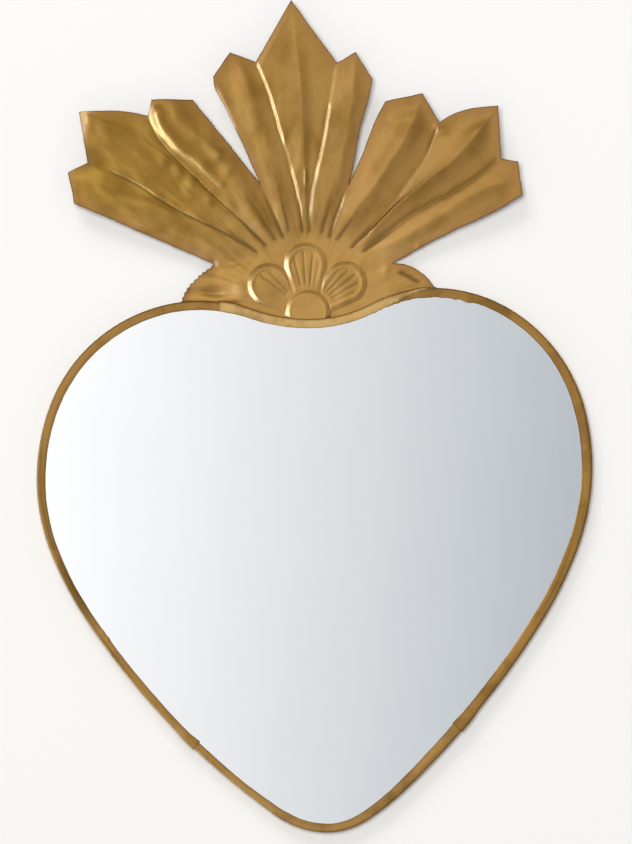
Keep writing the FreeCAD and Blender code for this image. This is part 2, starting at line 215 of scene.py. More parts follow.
# %% [markdown]
# ## Aged brass
# The brass is rolled sheet, annealed and worked by hand, then left to tarnish. It keeps a satin
# shine: metallic 1 and a roughness near 0.4. Slow blotches move its tone between olive and pink
# where the heat of soldering reached, streaks run out from the boss as the chasing and the rubbing
# did, cut edges carry a thin brown line and a dull margin, and chased grooves hold dark tarnish.
# The distance to the nearest cut edge, the depth of a groove and the cleaner face of the strip over
# the dip are read from attributes that the mesh brings along, because only the mesh knows them.
# On the rim the groove attribute also carries painted shade on the strips' outer bends and walls,
# and the pale one a painted highlight along part of the right strip's inner edge.
# On the strips the streaks run lengthwise, along a second pair of attributes: along and across.
# The strap and the ring bring no such attributes, so they show the rim's tone and smaller blotches.
# Nobody cleans the back of an embossed sheet, so it keeps the dark scale of the annealing fire. That dark
# back is painted shade as well: it stands in for the shaded wall the back of the sheet would reflect.

# %% Aged brass
OLIVE_BRASS = linear("#A97F37")
YELLOW_BRASS = linear("#C9A04B")
WARM_BRASS = linear("#B08546")
BASE_BRASS = linear("#CC9E58")
DEEP_BRASS = linear("#8E6928")
RIM_BRASS = linear("#AC8242")
RIM_DARK = linear("#7E5C28")
DIP_BRASS = linear("#D9B16B")
ROSE_MARGIN = linear("#A97A43")
BROWN_EDGE = linear("#5C4020")
SHADE_AND_TARNISH_BROWN = linear("#543C14")
# The middle of the boss, from the crest's left end and from its top
BOSS_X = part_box("crest")[0].x / MM + 132.0
BOSS_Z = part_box("crest")[1].z / MM - 171.5
BOSS_AT = (BOSS_X * MM, 0.0, BOSS_Z * MM)
DRAWN_LENGTH = 60.0
DRAWN_WIDTH = 1.6


def across_tone(tree, place, drag):
    """Streaky olive at the left, warmer at the right, lighter low down and on the rubbed middle lobe."""
    x, _, z = node(tree, "SeparateXYZ", {0: place}).outputs
    drift = node(tree, "TexNoise", {"Vector": place, "Scale": per_mm(90), "Detail": 2.0})
    sway = node(tree, "Math", {0: drift, 1: 0.22, 2: -0.11}, operation="MULTIPLY_ADD")
    across = node(tree, "Math", {0: x, 1: sway}, operation="ADD")
    side = node(tree, "MapRange", {"Value": across, "From Min": -90 * MM, "From Max": 10 * MM})
    polished = node(tree, "MapRange", {"Value": drag, "From Min": 0.5, "From Max": 0.34, "To Max": 0.6})
    olive = node(tree, "Mix", {0: polished, 6: OLIVE_BRASS, 7: YELLOW_BRASS}, data_type="RGBA")
    tone = node(tree, "Mix", {0: side, 6: olive, 7: WARM_BRASS}, data_type="RGBA")
    low = node(tree, "MapRange", {"Value": z, "From Min": 50 * MM, "From Max": 20 * MM, "To Max": 0.7})
    aside = node(tree, "Math", {0: x}, operation="ABSOLUTE")
    middle = node(tree, "MapRange", {"Value": aside, "From Min": 60 * MM, "From Max": 25 * MM, "To Max": 0.3})
    rubbed = node(tree, "Math", {0: low, 1: middle}, operation="MAXIMUM")
    return node(tree, "Mix", {0: rubbed, 6: tone, 7: BASE_BRASS}, data_type="RGBA")


def streaks(tree, place):
    """Noise drawn out along lines from the boss: fine across them and long along them."""
    from_boss = node(tree, "VectorMath", {0: place, 1: BOSS_AT}, operation="SUBTRACT")
    x, _, z = node(tree, "SeparateXYZ", {0: from_boss}).outputs
    flat = node(tree, "CombineXYZ", {0: x, 2: z})
    reach = node(tree, "VectorMath", {0: flat}, operation="LENGTH")
    turn = node(tree, "Math", {0: z, 1: x}, operation="ARCTAN2")
    fine = node(tree, "Math", {0: turn, 1: 14.0}, operation="MULTIPLY")
    long = node(tree, "Math", {0: reach, 1: per_mm(26)}, operation="MULTIPLY")
    drawn = node(tree, "CombineXYZ", {0: fine, 1: long})
    drag = node(tree, "TexNoise", {"Vector": drawn, "Scale": 1.0, "Detail": 3.0})
    outer = node(tree, "MapRange", {"Value": reach, "From Min": 20 * MM, "From Max": 50 * MM})
    return node(tree, "Mix", {0: outer, 2: 0.45, 3: drag}, data_type="FLOAT")


def lengthwise_tone(tree):
    """The rim's tone with streaks along the strips, and paler where the mesh says so."""
    layers = ("along", "across", "pale")
    along, across, pale = [node(tree, "Attribute", attribute_name=name).outputs["Fac"] for name in layers]
    long = node(tree, "Math", {0: along, 1: 1 / DRAWN_LENGTH}, operation="MULTIPLY")
    fine = node(tree, "Math", {0: across, 1: 1 / DRAWN_WIDTH}, operation="MULTIPLY")
    drawn = node(tree, "CombineXYZ", {0: long, 1: fine})
    slow = node(tree, "TexNoise", {"Vector": drawn, "Scale": 1.0, "Detail": 4.0})
    dark = node(tree, "MapRange", {"Value": slow, "From Min": 0.5, "From Max": 0.75})
    tone = node(tree, "Mix", {0: dark, 6: RIM_BRASS, 7: RIM_DARK}, data_type="RGBA")
    # The pale attribute also carries a painted highlight along part of the right strip's inner edge.
    return node(tree, "Mix", {0: pale, 6: tone, 7: DIP_BRASS}, data_type="RGBA")


def worn_edges(tree, colour, rough, blotch, margin_share, line_share):
    """A dull rosy margin, a brown line at cut edges, groove tarnish, and painted shade on the rim's walls."""
    layers = ("edge", "tarnish_and_painted_shade")
    edge, tarnish_and_painted_shade = [node(tree, "Attribute", attribute_name=name).outputs["Fac"] for name in layers]
    frayed = node(tree, "Math", {0: blotch, 1: 6.0, 2: -3.0}, operation="MULTIPLY_ADD")
    inward = node(tree, "Math", {0: edge, 1: frayed}, operation="ADD")
    margin = node(tree, "MapRange", {"Value": inward, "From Min": 5.5, "From Max": 1.5,
                                     "To Max": margin_share})
    rosy = node(tree, "Mix", {0: margin, 6: colour, 7: ROSE_MARGIN}, data_type="RGBA")
    thin = node(tree, "MapRange", {"Value": edge, "From Min": 0.9, "From Max": 0.1, "To Max": line_share})
    edged = node(tree, "Mix", {0: thin, 6: rosy, 7: BROWN_EDGE}, data_type="RGBA")
    # One attribute gives tarnish in the crest's grooves and painted shade on the rim's walls.
    tarnish_and_shade_mix = node(tree, "Mix", {0: tarnish_and_painted_shade, 6: edged, 7: SHADE_AND_TARNISH_BROWN}, data_type="RGBA")
    duller = node(tree, "Math", {0: margin, 1: 0.1, 2: rough}, operation="MULTIPLY_ADD")
    return tarnish_and_shade_mix, duller


def aged_brass(name, folded=False, worn=True, blotch_size=16):
    """Hand-worked brass sheet: embossed, or the folded strips of the rim, or plain hardware."""
    material, tree = new_material(name)
    place = node(tree, "TexCoord").outputs["Object"]
    blotch = node(tree, "TexNoise", {"Vector": place, "Scale": per_mm(blotch_size), "Detail": 5.0,
                                     "Roughness": 0.6})
    if folded:
        colour = lengthwise_tone(tree)
        marks = blotch
        dirt = RIM_DARK
        polish_range = (0.36, 0.54)
    else:
        drag = streaks(tree, place)
        colour = across_tone(tree, place, drag)
        half_drag = node(tree, "Math", {0: drag, 1: 0.5}, operation="MULTIPLY")
        marks = node(tree, "Math", {0: blotch, 1: 0.5, 2: half_drag}, operation="MULTIPLY_ADD")
        dirt = DEEP_BRASS
        polish_range = (0.29, 0.45)
    dull = node(tree, "MapRange", {"Value": marks, "From Min": 0.47, "From Max": 0.68, "To Max": 0.7})
    colour = node(tree, "Mix", {0: dull, 6: colour, 7: dirt}, data_type="RGBA")
    polish = node(tree, "TexNoise", {"Vector": place, "Scale": per_mm(11), "Detail": 4.0})
    rough = node(tree, "MapRange", {"Value": polish, "From Min": 0.3, "From Max": 0.7,
                                    "To Min": polish_range[0], "To Max": polish_range[1]})
    if worn:
        shares = (0.1, 0.5) if folded else (0.6, 0.8)
        colour, rough = worn_edges(tree, colour, rough, blotch, *shares)
    hammer = node(tree, "TexNoise", {"Vector": place, "Scale": per_mm(7), "Detail": 2.0})
    dints = node(tree, "Bump", {"Height": hammer, "Strength": 0.35, "Distance": 0.25 * MM})
    grain = node(tree, "TexNoise", {"Vector": place, "Scale": per_mm(1.2), "Detail": 3.0})
    skin = node(tree, "Bump", {"Height": grain, "Strength": 0.25, "Distance": 0.05 * MM, "Normal": dints})
    shader = node(tree, "BsdfPrincipled", {"Base Color": colour, "Metallic": 1.0, "Roughness": rough,
                                           "Normal": skin})
    node(tree, "OutputMaterial", {0: shader})
    return material


crest_brass = aged_brass("aged_brass_embossed")
rim_brass = aged_brass("aged_brass_folded", folded=True)
hanger_brass = aged_brass("aged_brass_plain", folded=True, worn=False, blotch_size=6)
print("brass:", crest_brass.name, rim_brass.name, hanger_brass.name)

# %% Finishes that follow one noise, and the back of the embossed sheet
# The dark tones are fire scale and also painted shade, standing in for the shaded wall the back faces.
SCALE_AND_SHADE_TONES = (linear("#3A2B1A"), linear("#6B5130"))


def clouded(name, size, tones, rough, detail, grain=0.5, spread=(0.0, 1.0), bump=None, metallic=1.0):
    """A finish whose tone follows one noise, and its roughness too where that is a pair of values.

    A bump is the strength and the depth in millimetres of dints that follow the same noise.
    """
    material, tree = new_material(name)
    place = node(tree, "TexCoord").outputs["Object"]
    cloud = node(tree, "TexNoise", {"Vector": place, "Scale": per_mm(size), "Detail": detail,
                                    "Roughness": grain})
    share = node(tree, "MapRange", {"Value": cloud, "From Min": spread[0], "From Max": spread[1]})
    tone = node(tree, "Mix", {0: share, 6: tones[0], 7: tones[1]}, data_type="RGBA")
    surface = {"Base Color": tone, "Metallic": metallic, "Roughness": rough}
    if isinstance(rough, tuple):
        between = {"Value": cloud, "To Min": rough[0], "To Max": rough[1]}
        surface["Roughness"] = node(tree, "MapRange", between)
    if bump:
        dints = {"Height": cloud, "Strength": bump[0], "Distance": bump[1] * MM}
        surface["Normal"] = node(tree, "Bump", dints)
    shader = node(tree, "BsdfPrincipled", surface)
    node(tree, "OutputMaterial", {0: shader})
    return material


brass_back = clouded("fire_scale_and_painted_shade_back", 18, SCALE_AND_SHADE_TONES, rough=(0.65, 0.45), detail=6.0, grain=0.65,
                     spread=(0.35, 0.65), bump=(0.2, 0.1))
print("made", brass_back.name)

# %% [markdown]
# ## Silvered glass, tinplate, hardboard and solder
# The mirror is float glass silvered behind, which is a metal to the eye: near-white, with almost no
# roughness and a very slow haze. The back is old tinplate: rolling lines, a grey bloom and rusty stains.
# Hardboard is pressed brown fibre, and soft solder sets as a dull grey, slightly grainy bead.

# %% Silvered glass, hardboard and solder
SILVER_TONES = (linear("#F8FAFB"), linear("#F4F6F8"))
FIBRE_TONES = (linear("#4F3822"), linear("#7A5A3A"))
SOLDER_TONES = (linear("#6A6A68"), linear("#9A9A98"))

mirror_silver = clouded("silvered_float_glass", 60, SILVER_TONES, rough=(0.015, 0.03), detail=2.0)
hardboard = clouded("pressed_hardboard", 2.5, FIBRE_TONES, rough=0.75, detail=6.0, grain=0.7,
                    bump=(0.3, 0.1), metallic=0.0)
soft_solder = clouded("soft_solder_set_dull", 0.8, SOLDER_TONES, rough=(0.3, 0.55), detail=4.0,
                      bump=(0.3, 0.08))
print("made", mirror_silver.name, hardboard.name, soft_solder.name)

# %% Tinplate
TIN_BRIGHT = linear("#B7B5AE")
TIN_DULL = linear("#84827B")
TIN_RUST = linear("#6E523A")

tinplate, tree = new_material("rolled_tinplate")
place = node(tree, "TexCoord").outputs["Object"]
drawn = node(tree, "Mapping", {"Vector": place, "Scale": (12.0, 1.0, 0.35)})
lines = node(tree, "TexNoise", {"Vector": drawn, "Scale": per_mm(14), "Detail": 5.0})
bloom = node(tree, "TexNoise", {"Vector": place, "Scale": per_mm(38), "Detail": 9.0, "Roughness": 0.68})
drag = node(tree, "Math", {0: lines, 1: 0.3, 2: bloom}, operation="MULTIPLY_ADD")
dulled = node(tree, "MapRange", {"Value": drag, "From Min": 0.46, "From Max": 0.86})
mottle = node(tree, "Mix", {0: dulled, 6: TIN_BRIGHT, 7: TIN_DULL}, data_type="RGBA")
stain = node(tree, "TexNoise", {"Vector": place, "Scale": per_mm(55), "Detail": 10.0, "Roughness": 0.72})
spots = node(tree, "MapRange", {"Value": stain, "From Min": 0.57, "From Max": 0.72, "To Max": 0.75})
stained = node(tree, "Mix", {0: spots, 6: mottle, 7: TIN_RUST}, data_type="RGBA")
satin = node(tree, "MapRange", {"Value": drag, "From Min": 0.4, "From Max": 0.95,
                                "To Min": 0.26, "To Max": 0.52})
rolled = node(tree, "Bump", {"Height": lines, "Strength": 0.2, "Distance": 0.05 * MM})
shader = node(tree, "BsdfPrincipled", {"Base Color": stained, "Metallic": 1.0,
                                       "Roughness": satin, "Normal": rolled})
node(tree, "OutputMaterial", {0: shader})
print("made", tinplate.name)

# %% [markdown]
# ## Finishes on the CAD pieces that stay
# The glass, the board, the back plate, the hanging strap and its ring are plain cut or bent shapes,
# so the CAD solids are shown as they are and only get their finishes.

# %% Dress the CAD pieces
DRESSED = {
    "mirror_glass": mirror_silver,
    "backing_board": hardboard,
    "back_plate": tinplate,
    "hanger_strap": hanger_brass,
    "hanger_ring": hanger_brass,
}
for name, finish in DRESSED.items():
    frame["nodes"][name].data.materials.clear()
    frame["nodes"][name].data.materials.append(finish)
print("dressed", ", ".join(DRESSED))

# %% [markdown]
# ## The line of the heart
# Everything on the rim follows one line, the outside of the folded strips. It could be typed in
# again, but the frame already has it: the front edge of the glass is the same heart, a fixed gap
# further in. The edge is walked round, made even, smoothed of its facets and moved out by that gap.

# %% Walk round the glass
SAME_PLACE = 1e-6


def front_edge(name):
    """The outline of a flat node's front face, in order, as x and z in millimetres."""
    bm = bmesh.new()
    bm.from_mesh(frame["nodes"][name].data)
    bmesh.ops.remove_doubles(bm, verts=bm.verts, dist=SAME_PLACE)
    front = min(vert.co.y for vert in bm.verts)
    flat = {face for face in bm.faces if max(vert.co.y for vert in face.verts) < front + SAME_PLACE}
    border = [edge for edge in bm.edges if len(flat.intersection(edge.link_faces)) == 1]
    beside = {}
    for edge in border:
        for vert in edge.verts:
            beside.setdefault(vert, []).append(edge.other_vert(vert))
    walk = [border[0].verts[0], border[0].verts[1]]
    while walk[-1] is not walk[0]:
        ahead = [vert for vert in beside[walk[-1]] if vert is not walk[-2]]
        walk.append(ahead[0])
    line = np.array([(vert.co.x / MM, vert.co.z / MM) for vert in walk])
    bm.free()
    return line


def lengths_along(line):
    """How far each point of a line is from its start."""
    return np.concatenate([[0.0], np.cumsum(np.linalg.norm(np.diff(line, axis=0), axis=1))])


def evenly(line, step):
    """The same closed line with its points a step apart."""
    lengths = lengths_along(line)
    places = np.linspace(0.0, lengths[-1], int(lengths[-1] / step), endpoint=False)
    return np.column_stack([np.interp(places, lengths, line[:, k]) for k in (0, 1)])


HEART_STEP = 0.5
SMOOTHING = 14
heart_line = evenly(front_edge("mirror_glass"), HEART_STEP)
for _ in range(SMOOTHING):
    heart_line = (np.roll(heart_line, 1, 0) + 2 * heart_line + np.roll(heart_line, -1, 0)) / 4
print("heart line:", len(heart_line), "points")

# %% Start it at the dip and run it to the right
DIP_REACH = 35.0
FEW_POINTS = 5
upper = np.abs(heart_line[:, 0]) < DIP_REACH
upper &= heart_line[:, 1] > heart_line[:, 1].mean()
dip_index = int(np.argmin(np.where(upper, heart_line[:, 1], np.inf)))
heart_line = np.roll(heart_line, -dip_index, 0)
if heart_line[FEW_POINTS, 0] < heart_line[0, 0]:
    heart_line = np.roll(heart_line[::-1], 1, 0)
tangent = np.roll(heart_line, -1, 0) - np.roll(heart_line, 1, 0)
tangent /= np.linalg.norm(tangent, axis=1)[:, None]
outward = np.column_stack([-tangent[:, 1], tangent[:, 0]])
glass_to_wall = (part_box("mirror_glass")[0].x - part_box("rim_left_strip")[0].x) / MM
heart_line += outward * glass_to_wall
steps = np.linalg.norm(np.roll(heart_line, -1, 0) - heart_line, axis=1)
stations = np.concatenate([[0.0], np.cumsum(steps)[:-1]])
HEART_LENGTH = float(steps.sum())
TIP_STATION = float(stations[np.argmin(heart_line[:, 1])])


def heart(distance, offset=0.0):
    """x and z of the rim's outside, at a distance along it from the dip, moved outwards."""
    spot = []
    for k in (0, 1):
        line = np.interp(distance, stations, heart_line[:, k], period=HEART_LENGTH)
        away = np.interp(distance, stations, outward[:, k], period=HEART_LENGTH)
        spot.append(float(line + away * offset))
    return spot


print(f"heart: {HEART_LENGTH:.1f} mm round, tip at {TIP_STATION:.1f} mm from the dip")

# %% [markdown]
# ## The four strips of the rim
# Each strip was folded over a rod into a channel and bent round the heart by hand, so its lip
# is never quite even. The channel's profile is drawn once, as the middle of the sheet, and a grid
# is laid along the heart with that profile across it. At a lap one strip runs over the next, so
# its end steps outwards and forwards by a sheet's thickness. Solidify then gives the real 0.5 mm.

# %% Profile of the channel
SHEET = 0.5
RIM_DEPTH = -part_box("rim_bottom_strip")[0].y / MM
FRONT_LIP = 4.6
REAR_LIP = 4.0
LIP_STEPS = 6
BEND_R = 0.55
BEND_STEPS = 5
# The lip's slight crown: its height, the part of a half wave that the lip spans, and its share at the bend
CROWN = 0.14
CROWN_FROM = 0.15
CROWN_SPAN = 0.7
CROWN_AT_BEND = 0.45


def channel_profile():
    """Points (outward, depth) of the middle of the sheet, from the front lip's edge to the rear's."""
    middle = SHEET / 2
    front = middle - RIM_DEPTH
    centre = -middle - BEND_R
    points = []
    for k in range(LIP_STEPS):
        share = k / LIP_STEPS
        out = -FRONT_LIP + share * (FRONT_LIP + centre)
        points.append((out, front - CROWN * math.sin(math.pi * (CROWN_FROM + CROWN_SPAN * share))))
    turns = [math.pi / 2 * k / BEND_STEPS for k in range(BEND_STEPS + 1)]
    for turn in turns:
        bulge = CROWN * CROWN_AT_BEND * math.cos(turn)
        depth = front + BEND_R - (BEND_R + bulge) * math.cos(turn)
        points.append((centre + BEND_R * math.sin(turn), depth))
    points.append((-middle, -RIM_DEPTH / 2))
    for turn in turns:
        points.append((centre + BEND_R * math.cos(turn), -middle - BEND_R + BEND_R * math.sin(turn)))
    points.append((-REAR_LIP, -middle))
    return points


PROFILE = channel_profile()
LIP_POINTS = LIP_STEPS + 1
REAR_BEND = len(PROFILE) - BEND_STEPS - 1
print("channel profile:", len(PROFILE), "points")

# %% Lay a strip along the heart
LAP_LENGTH = 8.0
SOLDER_GAP = 0.1
LAP_LIFT = SHEET + SOLDER_GAP
LAP_ROOT = 8.0
STATION_STEP = 0.8
RIM_LAYERS = ("pale", "along", "across", "tarnish_and_painted_shade")
BUTT_GAP = 0.2
FLARE_LENGTH = 8.0
TAPER_START = 43.0
TAPER_LENGTH = 29.0
TAPER_BLUR = 0.8
RECESS = 0.5
# Waves in a hand-folded lip: the height and the length of each, along its edge and out of its plane
EDGE_WAVES = ((0.12, 11.0), (0.10, 4.0))
DEPTH_WAVE = (0.10, 17.0)
# A ragged edge: how far it sticks out at least, and its snips' height, length and fade
RAGGED_LEAST = 0.1
RAGGED_HEIGHT = 1.1
RAGGED_LENGTH = 3.4
RAGGED_FADE = 5.0
# How the strips were bent off the true line: place along the rim from the dip, shift outwards, and
# shift of the lip's inner edge inwards
BENDS = np.array((
    (0, 0.0, 0.4), (100, 0.0, 0.3), (140, 0.3, 0.2), (180, 0.8, 0.4), (330, 0.8, 0.4), (375, 0.2, 1.1),
    (405, 0.3, 1.1), (440, 0.6, 0.2), (472, 0.6, -0.4), (500, -0.2, 0.6), (530, 0.1, -0.5), (600, 0.0, 0.1),
    (680, 0.0, -0.2), (740, 0.0, 0.3), (800, -0.2, 0.7), (850, -0.2, 0.6), (875, 0.0, 0.3), (925, 0.0, 0.7),
))
# Painted shade darkens each strip's outer bend and wall; the rear lip is made darker too.
WALL_PAINTED_SHADE = 0.45
WALL_PAINTED_SHADE_START = (-1.3, -0.4)
REAR_LIP_DARKENING = 0.4
RUBBED_FADE = 15.0
TARNISH_FADE = 24.0
STREAK_SHIFT = 20.0      # keeps the streaks of two strips apart


def bent_line(s):
    """The shifts of the wall and of the lip at a place along the rim."""
    return [float(np.interp(s, BENDS[:, 0], BENDS[:, k], period=HEART_LENGTH)) for k in (1, 2)]


def snipped(s, spans, seed):
    """How far a ragged inner edge sticks out over the glass."""
    inside = max((stretch(low, high, RAGGED_FADE, s) for low, high in spans), default=0.0)
    return inside * (RAGGED_LEAST + RAGGED_HEIGHT * abs(ripple(s, 0, RAGGED_LENGTH, seed)))


def rim_strip(start, end, seed, start_lap=0.0, end_lap=0.0, flare=0.0, ragged=(), marks=(), tapered=False,
              tone=0.0, tarnish=(), rubbed=()):
    """A folded strip between two butts. A lap runs on past its butt, over the next strip."""
    first = start - start_lap + (0.0 if start_lap else BUTT_GAP)
    last = end + end_lap - (0.0 if end_lap else BUTT_GAP)
    count = round((last - first) / STATION_STEP)
    bm = bmesh.new()
    pale, along, across, tarnish_and_painted_shade = [bm.verts.layers.float.new(name) for name in RIM_LAYERS]

    def station(i):
        return first + (last - first) * i / count

    def lift(s):
        over = ramp(start + LAP_ROOT, start, s) if start_lap else 0.0
        return LAP_LIFT * max(over, ramp(end - LAP_ROOT, end, s) if end_lap else 0.0)

    def paleness(s, out):
        border = TAPER_START + (1 - clamp(-out / FRONT_LIP)) * TAPER_LENGTH
        return ramp(border + TAPER_BLUR, border - TAPER_BLUR, s) if tapered else 0.0

    def place(i, j):
        s = station(i)
        out, depth = PROFILE[j]
        shift, inward_shift = bent_line(s)
        lip_share = 0.0
        if j < LIP_POINTS:
            lip_share = max(0.0, -out / FRONT_LIP)
            to_lap = min(s - first if start_lap else math.inf, last - s if end_lap else math.inf)
            width = shift + inward_shift
            for k, (height, length) in enumerate(EDGE_WAVES):
                width += height * ripple(s, 0, length, seed + k)
            width += flare * ramp(FLARE_LENGTH, 0.0, to_lap) + snipped(s, ragged, seed + 2)
            for spot, reach, inward, raised in marks:
                near = math.exp(-((s - spot) / reach) ** 2)
                width += inward * near
                depth -= raised * near * lip_share
            depth += DEPTH_WAVE[0] * ripple(s, 0, DEPTH_WAVE[1], seed + 3) * lip_share
            if tapered:
                depth += RECESS * (1 - paleness(s, out))
            out -= width * lip_share
        over = lift(s)
        x, z = heart(s, out + shift + over * (1 - lip_share))
        return Vector((x, depth - over * clamp(-depth / RIM_DEPTH), z))

    verts = laid_grid(bm, count, len(PROFILE) - 1, place)
    row_of = {}
    station_of = {}
    for k, vert in enumerate(verts):
        row = k // (count + 1)
        s = station(k % (count + 1))
        out = PROFILE[row][0]
        row_of[vert] = row
        station_of[vert] = s
        vert[pale] = max(tone, paleness(s, out))
        # Painted highlight: the lip's inner edge is made pale along these stretches.
        for low, high in rubbed if row == 0 else ():
            vert[pale] = max(vert[pale], stretch(low, high, RUBBED_FADE, s))
        vert[along] = s
        vert[across] = STREAK_SHIFT * seed + (row if row >= LIP_POINTS else out)
        # Painted shade on the outer bend and wall, a darker rear lip, and the tarnished stretches
        darkening = WALL_PAINTED_SHADE * ramp(*WALL_PAINTED_SHADE_START, out) if row < REAR_BEND else REAR_LIP_DARKENING
        for low, high, strength in tarnish:
            darker = stretch(low - TARNISH_FADE / 2, high + TARNISH_FADE / 2, TARNISH_FADE, s)
            darkening = max(darkening, strength * darker)
        vert[tarnish_and_painted_shade] = darkening

    def cut_away(face):
        if min(row_of[vert] for vert in face.verts) < REAR_BEND:
            return False
        middle = face.calc_center_median()
        s = sum(station_of[vert] for vert in face.verts) / len(face.verts)
        on_lap = (start_lap and s < start) or (end_lap and s > end)
        return on_lap or (tapered and abs(middle.x) < NOTCH_HALF_WIDTH)

    bmesh.ops.delete(bm, geom=[face for face in bm.faces if cut_away(face)], context="FACES")
    return bm


print("a strip has a row of", len(PROFILE), "corners every", STATION_STEP, "mm")

# %% Cut the four strips
LAP_LEFT_OF_DIP = 42.5
LAP_RIGHT_OF_DIP = 64.0
LAP_LEFT_OF_TIP = 95.0
LAP_RIGHT_OF_TIP = 104.0
NOTCH_CLEARANCE = 0.3
NOTCH_HALF_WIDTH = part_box("hanger_strap")[1].x / MM + NOTCH_CLEARANCE
dip_left = HEART_LENGTH - LAP_LEFT_OF_DIP
tip_left = TIP_STATION + LAP_LEFT_OF_TIP
tip_right = TIP_STATION - LAP_RIGHT_OF_TIP
# Marks on a lip: place along the rim, reach, growth inwards and height, in millimetres
RIGHT_MARKS = ((91.0, 3.0, 0.8, 0.3), (259.5, 0.8, 0.15, 0.25), (290.0, 0.8, 0.15, 0.25))
LEFT_MARKS = (
    (HEART_LENGTH - 304.0, 1.6, 0.3, 0.35),
    (HEART_LENGTH - 308.5, 1.8, 0.4, 0.3),
    (HEART_LENGTH - 200.0, 2.5, 0.0, 0.15),
)
# Darker stretches: where each starts and ends along the rim, and its strength
LEFT_TARNISH = (
    (HEART_LENGTH - 294.0, HEART_LENGTH - 256.0, 0.6),
    (HEART_LENGTH - 256.0, HEART_LENGTH - 195.0, 0.3),
)
# Stretches of a cut edge that get no brown line: where each starts and ends along the rim. On the
# right strip the lip's edge there is painted pale, a painted highlight. On the strip over the dip it
# is the free end at the right, and END_ROW takes in its last row of corners.
RIGHT_PAINTED_HIGHLIGHT = ((215.0, 345.0),)
END_ROW = 0.1
DIP_RUBBED = ((LAP_RIGHT_OF_DIP + LAP_LENGTH - END_ROW, HEART_LENGTH),)
STRIPS = {
    "rim_dip_strip": dict(start=-LAP_LEFT_OF_DIP, end=LAP_RIGHT_OF_DIP, seed=1, start_lap=LAP_LENGTH,
                          end_lap=LAP_LENGTH, ragged=((18.0, 80.0),), tapered=True),
    "rim_right_strip": dict(start=LAP_RIGHT_OF_DIP, end=tip_right, seed=2, end_lap=LAP_LENGTH, flare=0.5,
                            ragged=((60.0, 98.0),), marks=RIGHT_MARKS, rubbed=RIGHT_PAINTED_HIGHLIGHT),
    "rim_bottom_strip": dict(start=tip_right, end=tip_left, seed=3, tone=0.15),
    "rim_left_strip": dict(start=tip_left, end=dip_left, seed=4, start_lap=LAP_LENGTH, flare=0.8,
                           marks=LEFT_MARKS, tarnish=LEFT_TARNISH),
}
EDGE_LIMIT = 20.0


def add_edge_distance(bm, counts):
    """Writes each corner's distance from the nearest border corner that counts, up to a limit, in mm."""
    layer = bm.verts.layers.float.new("edge")
    cut = [vert for vert in bm.verts if vert.is_boundary and counts(vert)]
    near = kdtree.KDTree(len(cut))
    for k, vert in enumerate(cut):
        near.insert(vert.co, k)
    near.balance()
    for vert in bm.verts:
        vert[layer] = min(EDGE_LIMIT, near.find(vert.co)[2])
    return len(cut)


for name, sizes in STRIPS.items():
    bm = rim_strip(**sizes)
    along = bm.verts.layers.float["along"]
    rubbed = DIP_RUBBED if name == "rim_dip_strip" else sizes.get("rubbed", ())
    add_edge_distance(bm, lambda vert: not any(low < vert[along] < high for low, high in rubbed))
    face_front(bm)
    piece_name = name.replace("strip", "folded_strip")
    finish_piece(bm, piece_name, name, [rim_brass], SHEET, BOTH_SIDES)

# %% [markdown]
# ## The crest: fold lines
# The crest is one sheet, cut to a fan of three lobes and chased into nine flutes. Each flute
# rises from a punched groove to a ridge and falls to the next groove. The fold lines are drawn
# through a few points each, in millimetres from the centre of the boss, root first. Between two
# neighbouring lines goes one grid, so the ridges and the grooves are edges of the mesh and stay crisp.
# Two of the lines are slits: a stem, and then one edge for the lobe at each side.

